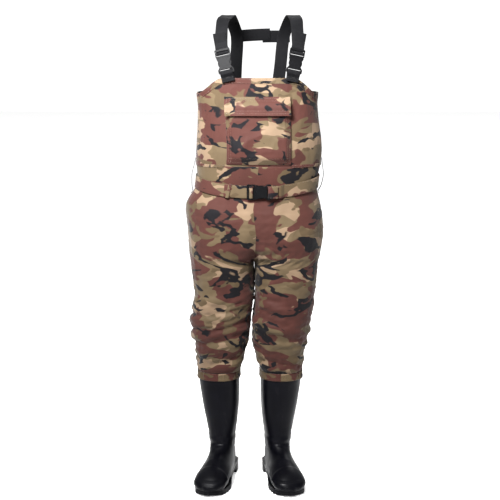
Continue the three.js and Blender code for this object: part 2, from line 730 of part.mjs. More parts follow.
/** Places a list of [y, z] points of a buckle's own frame in the part's frame. */
const inBuckle = (group, route) => route.map(([y, z]) => vec(0, y, z).applyMatrix4(group.matrix));

// Round the middle bar of a frame: in over its front face and back behind it
const barRoom = barHalf + clearance + webbingThickness / 2;
const lowSlot = (frameBaseTop + middleBar[0]) / 2;
const highSlot = (middleBar[1] + topBar[0]) / 2;
const barMiddle = (middleBar[0] + middleBar[1]) / 2;
const ladderRoute = [
  [barRoom + 0.8, topBar[1] + 8], [barRoom + 0.8, topBar[1]], [barRoom + 0.4, topBar[0] - 0.5], [0, highSlot],
  [-barRoom - 0.5, middleBar[1] + 1], [-barRoom - 0.7, barMiddle], [-barRoom + 0.2, middleBar[0] - 1.4],
  [0, lowSlot], [barRoom - 0.2, middleBar[0] - 1.4], [barRoom + 0.7, barMiddle], [barRoom + 2.6, highSlot],
  [barRoom + 3.4, topBar[0]], [barRoom + 3.8, topBar[1] + 2], [barRoom + 4, topBar[1] + 16],
];

// Round the bar of a socket: up in front of it and down behind, then both layers together
const doubled = (webbingThickness + clearance) / 2;
const socketLoop = [
  [-3.4, -16.5], [-buckleHalf - 1.4, -10.5], [-buckleHalf - 1.5, -6], [-buckleHalf - 1, -2], [-3, 0.2],
  [0, 0.8], [3, 0.2], [buckleHalf + 1, -2], [buckleHalf + 1.5, -6], [buckleHalf + 1.4, -10.5], [3.4, -16.5],
];

// ---------------------------------------------------------------------------------------------------------
// Braces: two shoulder straps that rise from the back panel, a cross strap, and a buckle at each end in front
// ---------------------------------------------------------------------------------------------------------

const strapLap = 45; // length of strap sewn to the back panel
const tabLap = 12; // length of tab sewn to the bib below its top edge
const crossHeight = bibTopHeight + 115;
const crossLap = 24; // the two cross straps overlap by this much
const crossMiddle = 30; // where they overlap
const crossBow = 7; // how far they bow back between the shoulders
const buckleRise = 22; // the socket's bar above the bib's top edge
const webbingEase = 1.2; // room under a flat webbing for the curve of the body

/** Where each strap runs: distances to the wearer's left of the part's middle plane. */
const braces = {
  left: { side: 1, anchor: 66, cross: 84, top: 110, front: 121, buckleTop: 123, bar: 111 },
  right: { side: -1, anchor: -67, cross: -61, top: -84, front: -104, buckleTop: -104, bar: -90 },
};
const buckleLean = 10; // how far the buckle's top leans back over its length

/** The buckle at the end of a brace, and the doubled tab that holds it to the bib. */
function buildBraceEnd(name, { side, buckleTop, bar }) {
  const outset = webbingEase + clearance + webbingThickness + clearance / 2;
  const barHeight = bibTopHeight + buckleRise;
  const barPoint = bodyFaceAt(bar - stance(bibTopHeight), bibTopHeight, outset).setZ(barHeight);
  const across = bodyAcross(bar, bibTopHeight);
  const sideways = across.clone().multiplyScalar((buckleTop - bar) / across.x);
  const towards = barPoint.clone().add(sideways).add(vec(0, buckleLean, frameTop));
  const prongs = side > 0 ? ["outer", "inner"] : ["inner", "outer"];
  const buckle = buildBuckle(`${name}_buckle`, prongs, barPoint, towards, across);

  const end = -buckleRise - tabLap;
  const join = -buckleRise + 1;
  const layer = [[doubled, end], [doubled, join - 2], [doubled + 0.5, join + 1.5]];
  const behind = layer.map(([y, z]) => [-y, z]);
  const route = [...behind, ...socketLoop, ...layer.reverse()];
  const tab = along(inBuckle(buckle, route), 26);
  const wide = tab.map(() => acrossOf(buckle));
  add(`${name}_buckle_tab`, band(tab, wide, webbing, webbingThickness), blackWebbing);
  return buckle;
}

function buildStrap(name, place) {
  const { side, anchor, cross, top, front } = place;
  const buckle = buildBraceEnd(name, place);
  const out = webbingEase + clearance + webbingThickness / 2;
  const onBack = (z) => bodyFaceAt(anchor - stance(z), z, out, 1);

  // From the lap on the back panel, up and over the shoulder
  const hem = onBack(sideTopHeight);
  const arch = along([
    onBack(sideTopHeight - strapLap),
    hem,
    vec(lerp(anchor, cross, 0.45), lerp(hem.y, 105, 0.6), lerp(sideTopHeight, crossHeight, 0.45)),
    vec(cross, 104, crossHeight),
    vec(lerp(cross, top, 0.45), 84, crossHeight + 36),
    vec(lerp(cross, top, 0.8), 50, shoulderHeight - 9),
    vec(top, 12, shoulderHeight - webbingThickness / 2),
    vec(lerp(top, front, 0.6), -22, shoulderHeight - 9),
  ], 44);
  const flat = bodyAcross(anchor, sideTopHeight, 1);
  const turned = profile([[0, 0], [0.55, 0], [0.8, -0.35], [1, -0.12]]);
  const archAcross = arch.map((_, i) => {
    const share = i / (arch.length - 1);
    return vec(1, side * turned(share), 0).lerp(flat, 1 - smooth(4 * share - 0.6));
  });
  add(`${name}_shoulder_strap`, band(arch, archAcross, webbing, webbingThickness), blackWebbing);

  // From the shoulder down through the frame of the buckle, and back up behind
  const last = arch.at(-1);
  const heading = last.clone().sub(arch.at(-2)).normalize();
  const throughFrame = inBuckle(buckle, ladderRoute);
  const run = along([
    last.clone().addScaledVector(heading, clearance),
    last.clone().addScaledVector(heading, 14).add(vec(0, 0, -4)),
    vec(front, -62, shoulderHeight - 44),
    ...throughFrame,
    throughFrame.at(-1).clone().add(vec(side * 6, 3, 34)),
  ], 72);
  const level = vec(1, -0.12 * side, 0);
  const runAcross = run.map((_, i) => level.clone().lerp(acrossOf(buckle), smooth((5 * i) / run.length)));
  add(`${name}_strap_adjuster`, band(run, runAcross, webbing, webbingThickness), blackWebbing);

  // Where the cross strap meets this one, and which way this one runs there
  const far = (point) => Math.abs(point.z - crossHeight);
  const at = arch.reduce((best, point, i) => (far(point) < far(arch[best]) ? i : best), 1);
  return { point: arch[at], up: arch[at + 1].clone().sub(arch[at - 1]).normalize() };
}

/** A cross strap from one x to another on a layer behind the shoulder straps. */
function buildCrossStrap(name, { from, to, rise, layer, y, up }) {
  const back = vec(0, 1, 0).addScaledVector(up, -up.y).normalize();
  const middle = (braces.left.cross + braces.right.cross) / 2;
  const span = (braces.left.cross - braces.right.cross) / 2;
  const path = range(15, (i) => {
    const share = i / 14;
    const x = lerp(from, to, share);
    const bow = crossBow * Math.max(0, 1 - ((x - middle) / span) ** 2);
    const lift = (1 + layer) * (webbingThickness + clearance) + clearance;
    return vec(x, y, crossHeight).addScaledVector(up, rise * share).addScaledVector(back, lift + bow);
  });
  add(name, band(path, path.map(() => up), webbing, webbingThickness), blackWebbing);
}

function buildBraces() {
  const [left, right] = ["left", "right"].map((name) => buildStrap(name, braces[name]));
  const shared = { y: Math.max(left.point.y, right.point.y), up: left.up.clone().setX(0).normalize() };
  const rightFrom = braces.right.cross - webbing / 2;
  const leftFrom = braces.left.cross + webbing / 2;
  const [rightTo, leftTo] = [crossMiddle + crossLap / 2, crossMiddle - crossLap / 2];
  buildCrossStrap("right_cross_strap", { from: rightFrom, to: rightTo, rise: 5, layer: 0, ...shared });
  buildCrossStrap("left_cross_strap", { from: leftFrom, to: leftTo, rise: -3, layer: 1, ...shared });
}

// ---------------------------------------------------------------------------------------------------------
// Belt: a cloth band round the waist with the same buckle, held by loops
// ---------------------------------------------------------------------------------------------------------

const beltBar = 36; // the socket's bar, to the wearer's left of the middle
const beltSplit = -82; // the adjustable end starts here
const beltEase = 2.2; // room under the belt for the folds of the cloth
const loopReach = 9; // how far the side loops stand off the belt
const loopWidth = 12;
const loopThickness = 1.2;
const keeperWidth = 10;

/** The height of the belt's middle line. */
function beltLine(turn) {
  const [c, s] = [Math.cos(2 * Math.PI * turn), Math.sin(2 * Math.PI * turn)];
  return beltHeight + beltSideRise * c * c + (s > 0 ? beltBackRise * s * s : 0);
}

/** The belt's middle line and the direction of its width, out from the cloth by an amount. */
function beltAt(turn, out) {
  const z = beltLine(turn);
  const low = bodyPoint(turn, z - webbing / 2, out);
  const high = bodyPoint(turn, z + webbing / 2, out);
  return { point: low.clone().add(high).multiplyScalar(0.5), across: high.sub(low).normalize() };
}

/** The turn at which the front of the body is a distance x from its middle. */
function frontTurn(x) {
  const share = x / bodyHalfWidth(beltHeight);
  return 1 - Math.acos(Math.sign(share) * Math.abs(share) ** (roundness(beltHeight) / 2)) / (2 * Math.PI);
}

function buildBelt() {
  const out = clearance + bandThickness / 2 + beltEase;
  const bar = vec(beltBar, -bodyFront(beltHeight) - buckleHalf - 5.5, beltHeight);
  const across = vec(0, 0, 1);
  const buckle = buildBuckle("belt_buckle", ["upper", "lower"], bar, bar.clone().add(vec(-1, 0, 0)), across);

  // The belt: folded round the socket's bar, then round the back to the wearer's right front
  const start = frontTurn(beltBar + 46) - 1;
  const end = frontTurn(beltSplit - stance(beltHeight));
  const round = range(65, (i) => beltAt(lerp(start, end, i / 64), out));
  const fold = [
    [-3, -28], [-buckleHalf, -20], [-buckleHalf - 1.9, -12], [-buckleHalf - 1.9, -5], [-buckleHalf, -1],
    [0, 0.6], [buckleHalf, -1], [buckleHalf + 1.9, -5], [buckleHalf + 1.9, -12], [buckleHalf - 0.5, -22],
    [bandThickness + clearance + 1.2, -34],
  ];
  const folded = along([...inBuckle(buckle, fold), round[0].point], 30).slice(0, -1);
  const belt = [...folded.map((point) => ({ point, across })), ...round];
  const beltBand = band(belt.map((at) => at.point), belt.map((at) => at.across), webbing, bandThickness);
  add("belt", beltBand, camouflage);

  // The adjustable end: behind the frame, round its middle bar, and back on top of itself to the keeper
  const joint = beltAt(end, out);
  const onward = beltAt(end + 0.012, out);
  const direction = onward.point.clone().sub(joint.point).normalize();
  const overBelt = bandThickness + 1.4;
  const outward = vec(0, 0, 0).crossVectors(direction, joint.across).normalize();
  const run = along([
    joint.point.clone().addScaledVector(direction, 1),
    onward.point,
    ...inBuckle(buckle, ladderRoute).reverse(),
    onward.point.clone().addScaledVector(outward, overBelt),
    joint.point.clone().addScaledVector(direction, -12).addScaledVector(outward, overBelt),
  ], 66);
  const straightened = (i) => smooth(3.2 - Math.abs((6.4 * i) / run.length - 3.2));
  const wide = run.map((_, i) => joint.across.clone().lerp(across, straightened(i)));
  add("belt_adjuster", band(run, wide, webbing, bandThickness), camouflage);

  const keeperAt = joint.point.clone().addScaledVector(direction, 2);
  keeperAt.addScaledVector(outward, overBelt / 2 + 0.7);
  add("belt_keeper", buildKeeper(keeperAt, direction, joint.across, outward), camouflage);
}

/** A closed band round both layers of the belt. */
function buildKeeper(middle, direction, across, outward) {
  const inside = [webbing / 2 + 1, bandThickness + 2];
  const outside = inside.map((half) => half + loopThickness);
  const ring = ([height, depth]) => rectangle(-depth, -height, depth, height);
  const keeper = plate(ring(outside), keeperWidth / 2, [ring(inside)]);
  const turn = new THREE.Matrix4().makeBasis(outward, direction, across);
  return keeper.applyMatrix4(turn.setPosition(middle));
}

/** A loop sewn to the cloth above and below the belt, at a turn round the body. */
function buildBeltLoop(name, turn, reach) {
  const out = clearance + webbingEase + loopThickness / 2;
  const over = out + clearance + 2 * bandThickness + beltEase;
  const z = beltLine(turn);
  const low = z - webbing / 2 - 14;
  const high = bibSeamHeight + 6;
  const path = along([
    bodyPoint(turn, low - 8, out), bodyPoint(turn, low, out),
    bodyPoint(turn, z - webbing / 2, over + 0.4 * reach), bodyPoint(turn, z, over + reach),
    bodyPoint(turn, z + webbing / 2, over + 0.9 * reach), bodyPoint(turn, high, out + 1),
    bodyPoint(turn, high + 8, out),
  ], 20);
  const step = 0.001;
  const wide = bodyPoint(turn + step, z).sub(bodyPoint(turn - step, z)).setZ(0).normalize();
  add(name, band(path, path.map(() => wide), loopWidth, loopThickness), camouflage);
}

function buildBeltLoops() {
  buildBeltLoop("left_belt_loop", leftSide, loopReach);
  buildBeltLoop("right_belt_loop", rightSide, loopReach);
  buildBeltLoop("back_belt_loop", backMiddle, 1);
}

buildBib();
buildPocket();
buildBoots();
buildLegs();
buildBraces();
buildBelt();
buildBeltLoops();

// The origin is below the middle of the object's box, on the ground.
const box = new THREE.Box3().setFromObject(waders, true);
const middle = box.getCenter(vec(0, 0, 0));
waders.position.set(-middle.x, -middle.y, -box.min.z);

export default waders;
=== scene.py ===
"""Chest waders: camouflage cloth, webbing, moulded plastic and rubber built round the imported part."""

import math
from contextlib import contextmanager
from types import SimpleNamespace

import bmesh
import bpy
import numpy as np
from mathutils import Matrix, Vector, noise
from mathutils.bvhtree import BVHTree


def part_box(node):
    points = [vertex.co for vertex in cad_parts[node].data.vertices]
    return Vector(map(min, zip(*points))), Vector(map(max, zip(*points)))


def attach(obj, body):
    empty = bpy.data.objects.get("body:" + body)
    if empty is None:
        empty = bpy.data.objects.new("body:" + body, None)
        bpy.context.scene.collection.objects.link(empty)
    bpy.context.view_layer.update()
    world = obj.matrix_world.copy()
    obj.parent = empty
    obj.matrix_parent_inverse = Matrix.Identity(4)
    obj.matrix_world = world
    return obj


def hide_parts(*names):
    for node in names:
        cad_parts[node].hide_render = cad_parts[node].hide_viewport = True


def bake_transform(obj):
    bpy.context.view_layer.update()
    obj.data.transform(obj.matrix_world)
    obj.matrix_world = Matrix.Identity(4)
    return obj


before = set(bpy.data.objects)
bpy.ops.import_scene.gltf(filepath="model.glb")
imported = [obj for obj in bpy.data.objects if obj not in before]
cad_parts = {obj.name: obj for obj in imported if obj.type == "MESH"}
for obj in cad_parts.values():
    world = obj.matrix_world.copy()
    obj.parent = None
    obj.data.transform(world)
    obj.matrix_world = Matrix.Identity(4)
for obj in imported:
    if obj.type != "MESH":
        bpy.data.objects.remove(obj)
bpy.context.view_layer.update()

MM = 0.001
SHIFT = np.array([4.82, 35.40, 0.0]) * MM  # from the body's own axes to the part's frame
CUFF_TOP = 352 * MM
CROTCH = 700 * MM
BELT_LOW, BELT_HIGH = 912 * MM, 980 * MM
SEAM_HEIGHT = 1010 * MM  # between the legs and the bib
BIB_TOP = 1273 * MM
CLOTH = 1.2 * MM  # thickness
RAY_START = 0.6  # how far out the rays that look for the part's outside start
SIDES = {"left": 1, "right": -1}

# How far the middle of the stance is from the middle of the body, by height
STANCE_HEIGHTS = np.array([345, 443, 523, 611, 700, 800, 882, 945, 1010, 1070, 1224, 1273]) * MM
STANCE_SHIFTS = np.array([-20, -19, -14, -5, -7, -1, -10, 1, 6, 8, 2, 5]) * MM


def body_axis(z):
    """The point on the body's own axis at a height."""
    return np.array([np.interp(z, STANCE_HEIGHTS, STANCE_SHIFTS), 0, 0]) + SHIFT + (0, 0, z)


def smooth(value, start, end):
    share = np.clip((value - start) / (end - start), 0, 1)
    return share * share * (3 - 2 * share)


def unit(vectors):
    length = np.linalg.norm(vectors, axis=-1, keepdims=True)
    return vectors / np.maximum(length, 1e-12)


# ---- Materials ----


def linear(red, green, blue):
    """A colour given in 0-255 steps, as a shader takes it."""
    steps = (red, green, blue)
    return tuple(((c / 255 + 0.055) / 1.055) ** 2.4 if c > 10 else c / 255 / 12.92 for c in steps) + (1,)


class Shader:
    """A material under construction: add() makes a node and links or sets its inputs."""

    def __init__(self, name):
        self.material = bpy.data.materials.new(name)
        self.material.use_nodes = True
        self.tree = self.material.node_tree
        self.tree.nodes.clear()
        self.surface = self.add("ShaderNodeBsdfPrincipled")
        self.add("ShaderNodeOutputMaterial", {"Surface": self.surface.outputs[0]})

    def add(self, kind, inputs=None, **settings):
        node = self.tree.nodes.new(kind)
        for key, value in settings.items():
            setattr(node, key, value)
        for key, value in (inputs or {}).items():
            self.put(node.inputs[key], value)
        return node

    def put(self, socket, value):
        if isinstance(value, bpy.types.NodeSocket):
            self.tree.links.new(value, socket)
        else:
            socket.default_value = value

    def noise(self, where, scale, detail=2.0, distortion=0.0):
        inputs = {"Vector": where, "Scale": scale, "Detail": detail, "Distortion": distortion}
        return self.add("ShaderNodeTexNoise", inputs).outputs["Fac"]

    def math(self, operation, first, second=0.0):
        return self.add("ShaderNodeMath", {0: first, 1: second}, operation=operation).outputs[0]

    def mapped(self, where, scale=(1, 1, 1), offset=(0, 0, 0), turn=0.0):
        inputs = {"Vector": where, "Scale": scale, "Location": offset, "Rotation": (0, 0, turn)}
        return self.add("ShaderNodeMapping", inputs).outputs[0]

    def ramp(self, value, low, high, start=0.0, end=1.0):
        """From low to high as the value goes from start to end."""
        inputs = {"Value": value, "From Min": start, "From Max": end, "To Min": low, "To Max": high}
        return self.add("ShaderNodeMapRange", inputs).outputs[0]

    def step(self, value, start, width=0.012):
        """0 below start and 1 above it, with a short ramp between."""
        return self.ramp(value, 0.0, 1.0, start, start + width)

    def mix(self, factor, first, second, blend="MIX"):
        node = self.add("ShaderNodeMix", data_type="RGBA", blend_type=blend)
        for index, value in ((0, factor), (6, first), (7, second)):
            self.put(node.inputs[index], value)
        return node.outputs[2]

    def bump(self, height, strength, distance):
        inputs = {"Height": height, "Strength": strength, "Distance": distance}
        self.put(self.surface.inputs["Normal"], self.add("ShaderNodeBump", inputs).outputs[0])

    def finish(self, **values):
        for name, value in values.items():
            self.put(self.surface.inputs[name.replace("_", " ")], value)
        return self.material


def camouflage_cloth(name):
    """Printed cloth: olive ground, sand and red-brown blotches, and dark branching shapes over them."""
    s = Shader(name)
    flat = s.add("ShaderNodeTexCoord").outputs["UV"]
    wide = s.mapped(flat, scale=(8.6, 13.5, 1))

    def clouds(x, y, *kind):
        return s.noise(s.mapped(wide, offset=(x, y, 0)), *kind)

    sand = s.step(clouds(3.1, 7.7, 1.2, 2.3, 0.45), 0.54)
    brown = s.step(clouds(11.3, 2.9, 1.0, 2.5, 0.4), 0.475)
    olive = s.step(clouds(5.9, 17.1, 1.3, 2.2, 0.45), 0.59)
    ridge = s.math("ABSOLUTE", s.math("SUBTRACT", clouds(23, 5, 0.85, 2.2, 0.5), 0.5))
    nubs = s.math("MULTIPLY", s.math("SUBTRACT", s.noise(wide, 4.5, 1.0), 0.5), 0.11)
    branch = s.math("SUBTRACT", 1.0, s.step(s.math("ADD", ridge, nubs), 0.03, 0.008))
    dark = s.math("MULTIPLY", branch, s.step(clouds(31, 41, 1.1, 1.2, 0.4), 0.50))
    colour = s.mix(sand, linear(82, 70, 53), linear(110, 93, 76))
    for where, tone in ((brown, (64, 37, 32)), (olive, (72, 60, 44)), (dark, (11, 9, 13))):
        colour = s.mix(where, colour, linear(*tone))
    worn = s.noise(flat, 14, 3)
    colour = s.mix(1.0, colour, s.ramp(worn, 0.9, 1.08, 0.3, 0.7), "MULTIPLY")
    inputs = {"Vector": flat, "Scale": 260.0, "Distortion": 1.5}
    weave = s.add("ShaderNodeTexWave", {**inputs, "Detail": 1.0})
    across = s.add("ShaderNodeTexWave", inputs, bands_direction="Y")
    threads = s.math("ADD", s.math("MULTIPLY", weave.outputs[1], across.outputs[1]), s.noise(flat, 420, 3))
    s.bump(threads, 0.35, 0.25 * MM)
    return s.finish(Base_Color=colour, Roughness=s.ramp(worn, 0.6, 0.8), Sheen_Weight=0.08,
                    Sheen_Roughness=0.5, Specular_IOR_Level=0.18)


def plain_cloth(name, light, dark, scale, roughness, depth, sheen=0.2):
    """Unprinted cloth or felt, with a mottled colour and a fibrous surface."""
    s = Shader(name)
    where = s.add("ShaderNodeTexCoord").outputs["Object"]
    mottle = s.noise(where, scale, 4)
    fibre = s.noise(where, scale * 6, 5, 0.4)
    s.bump(s.math("ADD", fibre, mottle), 0.6, depth)
    colour = s.mix(s.step(mottle, 0.35, 0.3), dark, light)
    return s.finish(Base_Color=colour, Roughness=roughness, Sheen_Weight=sheen, Sheen_Roughness=0.6)


def webbing_weave(name):
    """Black webbing: herringbone ribs that run across it, with painted shade in the rib valleys and a painted
    highlight on the ridges.
    """
    s = Shader(name)
    flat = s.add("ShaderNodeTexCoord").outputs["UV"]
    ribs = []
    for turn in (0.62, -0.62):
        inputs = {"Vector": s.mapped(flat, turn=turn), "Scale": 190.0, "Distortion": 0.4}
        ribs.append(s.add("ShaderNodeTexWave", inputs).outputs[1])
    height = s.math("MAXIMUM", *ribs)
    s.bump(height, 0.7, 0.45 * MM)
    # painted shade and highlight: the colour follows the rib height, near black in the valleys and lighter on
    # the ridges
    painted_rib_shade = s.mix(height, linear(3, 3, 4), linear(13, 13, 16))
    fuzz = s.noise(flat, 260, 3)
    colour = s.mix(s.step(fuzz, 0.45, 0.25), painted_rib_shade, linear(8, 8, 10))
    return s.finish(Base_Color=colour, Roughness=0.7, Sheen_Weight=0.03, Sheen_Roughness=0.4,
                    Specular_IOR_Level=0.16)


def rubber(name, light, dark, low, high):
    """Moulded rubber: satin black with fine moulding grain, scuffs and dust."""
    s = Shader(name)
    where = s.add("ShaderNodeTexCoord").outputs["Object"]
    cloudy = s.noise(where, 18, 4, 0.6)
    grain = s.noise(where, 900, 2)
    scuffs = s.step(s.noise(s.mapped(where, scale=(1, 1, 0.35)), 70, 5, 1.2), 0.62, 0.12)
    s.bump(s.math("ADD", s.math("MULTIPLY", grain, 0.4), s.noise(where, 55, 3)), 0.22, 0.5 * MM)
    colour = s.mix(s.step(cloudy, 0.35, 0.35), dark, light)
    colour = s.mix(s.math("MULTIPLY", scuffs, 0.3), colour, linear(30, 29, 32))
    rough = s.ramp(cloudy, low, high, 0.3, 0.7)
    return s.finish(Base_Color=colour, Roughness=rough, Specular_IOR_Level=0.17)


def moulded_plastic(name):
    s = Shader(name)
    where = s.add("ShaderNodeTexCoord").outputs["Object"]
    fine = s.noise(where, 700, 2)
    worn = s.noise(where, 160, 4, 0.5)
    s.bump(fine, 0.25, 0.1 * MM)
    colour = s.mix(s.step(worn, 0.55, 0.2), linear(7, 7, 9), linear(14, 14, 17))
    return s.finish(Base_Color=colour, Roughness=s.ramp(worn, 0.42, 0.58), Specular_IOR_Level=0.14)


def thread(name, colour):
    s = Shader(name)
    where = s.add("ShaderNodeTexCoord").outputs["Object"]
    twist = s.noise(where, 2200, 2)
    s.bump(twist, 0.5, 0.1 * MM)
    return s.finish(Base_Color=s.mix(twist, colour, linear(60, 52, 42)), Roughness=0.6, Sheen_Weight=0.2)


CAMO = camouflage_cloth("camouflage_cloth")
LINING = plain_cloth("coated_lining", linear(60, 60, 52), linear(42, 42, 38), 90, 0.55, 0.2 * MM, 0.1)
WEBBING = webbing_weave("black_webbing")
RUBBER = rubber("boot_rubber", linear(8, 8, 16), linear(3, 3, 9), 0.32, 0.48)
TREAD = rubber("sole_rubber", linear(9, 9, 14), linear(5, 5, 9), 0.48, 0.7)
PLASTIC = moulded_plastic("buckle_plastic")
HOOKS = plain_cloth("hook_and_loop", linear(36, 35, 37), linear(16, 16, 18), 500, 0.9, 0.8 * MM, 0.5)
FELT = plain_cloth("lining_felt", linear(104, 101, 96), linear(66, 64, 62), 160, 0.95, 0.6 * MM, 0.6)
LOOP_TAPE = plain_cloth("loop_tape", linear(38, 36, 35), linear(24, 23, 24), 300, 0.8, 0.2 * MM, 0.1)
TAN_THREAD = thread("tan_thread", linear(92, 72, 54))
BLACK_THREAD = thread("black_thread", linear(34, 34, 38))

# ---- Reading the part's shapes ----


def merged(*nodes):
    """The vertices and triangles of some nodes, with doubled vertices made one."""
    points, faces, start = [], [], 0
    for node in nodes:
        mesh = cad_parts[node].data
        co = np.empty(len(mesh.vertices) * 3)
        mesh.vertices.foreach_get("co", co)
        mesh.calc_loop_triangles()
        triangles = np.empty(len(mesh.loop_triangles) * 3, int)
        mesh.loop_triangles.foreach_get("vertices", triangles)
        unique, inverse = np.unique(np.round(co.reshape(-1, 3), 6), axis=0, return_inverse=True)
        points.append(unique)
        faces.append(inverse.reshape(-1)[triangles].reshape(-1, 3) + start)
        start += len(unique)
    return np.concatenate(points), np.concatenate(faces)


def tree_of(*nodes):
    points, faces = merged(*nodes)
    return BVHTree.FromPolygons(points.tolist(), faces.tolist())


def hit(tree, origin, direction):
    """Where a ray first meets a tree, or None."""
    found = tree.ray_cast(Vector(origin), Vector(direction))[0]
    return None if found is None else np.array(found)


def seen_from_outside(tree, axis, angle):
    """The outermost point of a tree in a direction from an upright axis, or None. Angle 0 is to the front."""
    direction = np.array([math.sin(angle), -math.cos(angle), 0])
    return hit(tree, axis + direction * RAY_START, -direction)


def plan_middle(node):
    """The middle of a node seen from above, at height 0."""
    low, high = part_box(node)
    return np.array([(low.x + high.x) / 2, (low.y + high.y) / 2, 0])


def neighbours(faces, count):
    near = [set() for _ in range(count)]
    for a, b, c in faces:
        near[a] |= {b, c}
        near[b] |= {a, c}
        near[c] |= {a, b}
    return near


def layers_from(near, first, size):
    """Sets of vertices at each step from a first set, or None once a set isn't the given size."""
    seen, layer, layers = set(first), set(first), [sorted(first)]
    while True:
        layer = set().union(*(near[i] for i in layer)) - seen
        if not layer:
            return layers
        if len(layer) != size:
            return None
        seen |= layer
        layers.append(sorted(layer))


def strip_sections(node):
    """The middle line of a flat strip, the direction of its width at each point, its width and thickness."""
    points, faces = merged(node)
    near = neighbours(faces, len(points))
    owners = {}
    for a, b, c in faces:
        for edge in ((a, b), (b, c), (c, a)):
            owners.setdefault(tuple(sorted(edge)), []).append({a, b, c})
    found = []
    for pair in owners.values():
        first = pair[0] | pair[1]
        layers = layers_from(near, first, 4) if len(first) == 4 else None
        if layers and 4 * len(layers) == len(points):
            corners = points[np.array(layers)]
            sides = np.linalg.norm(corners[:, 1:] - corners[:, :1], axis=2).min(1)
            found.append((sides.max(), layers))
    layers = min(found)[1]
    middles, widths = [], []
    for layer in layers:
        corners = points[layer]
        steps = corners[1:] - corners[0]
        steps = steps[np.argsort(np.linalg.norm(steps, axis=1))]
        across, deep = steps[1], steps[0]
        if widths and across @ widths[-1] < 0:
            across = -across
        middles.append(corners.mean(0))
        widths.append(across)
        thickness = np.linalg.norm(deep)
    return np.array(middles), unit(np.array(widths)), np.linalg.norm(widths[0]), thickness


# ---- Building pieces ----


def finer(grid, times, loop=False):
    """A grid with its first axis sampled more finely, along smooth curves through its points."""
    count = len(grid)
    starts = np.arange(count if loop else count - 1)

    def at(offset):
        index = starts + offset
        return grid[index % count if loop else np.clip(index, 0, count - 1)]

    before, here, after, beyond = at(-1), at(0), at(1), at(2)
    steps = []
    for t in np.arange(times) / times:
        bend = (2 * before - 5 * here + 4 * after - beyond) * t * t
        turn = (3 * here - before - 3 * after + beyond) * t ** 3
        steps.append(here + ((after - before) * t + bend + turn) / 2)
    fine = np.stack(steps, axis=1).reshape(-1, *grid.shape[1:])
    return fine if loop else np.concatenate([fine, grid[-1:]])


def finer_grid(grid, rows, columns, loop=False):
    fine = finer(grid, rows)
    return finer(fine.swapaxes(0, 1), columns, loop).swapaxes(0, 1)


def distances(line):
    """How far along a polyline each of its points is."""
    return np.concatenate([[0], np.cumsum(np.linalg.norm(np.diff(line, axis=0), axis=1))])


def spaced(line, count):
    """Points at even distances along a polyline."""
    line = np.asarray(line)
    travelled = distances(line)
    at = np.linspace(0, travelled[-1], count)
    return np.stack([np.interp(at, travelled, line[:, axis]) for axis in range(line.shape[1])], axis=1)


def grid_normals(grid):
    down = np.gradient(grid, axis=0)
    along = np.gradient(grid, axis=1)
    return unit(np.cross(along, down))


def grid_faces(rows, columns, loop=False):
    faces = []
    for start in range(0, (rows - 1) * columns, columns):
        for c in range(columns if loop else columns - 1):
            beyond = start + (c + 1) % columns
            faces.append((start + c, beyond, beyond + columns, start + c + columns))
    return faces


def new_object(name, vertices, faces, *materials, uvs=None):
    """A smooth-shaded mesh object. uvs holds one pair for each corner of each face."""
    mesh = bpy.data.meshes.new(name)
    mesh.from_pydata(np.asarray(vertices).reshape(-1, 3).tolist(), [], faces)
    mesh.polygons.foreach_set("use_smooth", [True] * len(mesh.polygons))
    if uvs is not None:
        layer = mesh.uv_layers.new(name="UVMap")
        layer.data.foreach_set("uv", np.asarray(uvs, float).reshape(-1))
    for material in materials:
        mesh.materials.append(material)
    piece = bpy.data.objects.new(name, mesh)
    bpy.context.scene.collection.objects.link(piece)
    return piece


def corner_uvs(faces, uv):
    return np.asarray(uv).reshape(-1, 2)[np.asarray(faces).reshape(-1)]


def surface(name, grid, uv, *materials, loop=False):
    faces = grid_faces(grid.shape[0], grid.shape[1], loop)
    return new_object(name, grid, faces, *materials, uvs=corner_uvs(faces, uv))


def keep(piece, slot, *nodes, body="garment"):
    """Finishes a piece: the nodes it stands for and the body it rides. Its finish, slot, is not used."""
    if nodes:
        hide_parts(*nodes)
    if body:
        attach(piece, body)
    return piece


def baked(piece):
    """The piece with its modifiers made part of its mesh."""
    evaluated = piece.evaluated_get(bpy.context.evaluated_depsgraph_get())
    mesh = bpy.data.meshes.new_from_object(evaluated)
    piece.modifiers.clear()
    piece.data = mesh
    return piece


@contextmanager
def editing(piece):
    """A piece's mesh, open for editing and put back afterwards."""
    shape = bmesh.new()
    shape.from_mesh(piece.data)
    yield shape
    shape.to_mesh(piece.data)
    shape.free()


def face_outward(piece):
    with editing(piece) as shape:
        bmesh.ops.recalc_face_normals(shape, faces=shape.faces)


def face_along(piece, face, direction):
    """Turns all the faces over if this one doesn't point along a direction."""
    if Vector(direction).dot(piece.data.polygons[face].normal) < 0:
        piece.data.flip_normals()


def thickened(piece, thickness, inner_material=0):
    """A sheet made solid inwards. Its inner side takes the material that many places on."""
    shell = piece.modifiers.new("thickness", "SOLIDIFY")
    shell.thickness = thickness
    shell.offset = -1
    shell.material_offset = inner_material
    shell.use_even_offset = False
    return baked(piece)


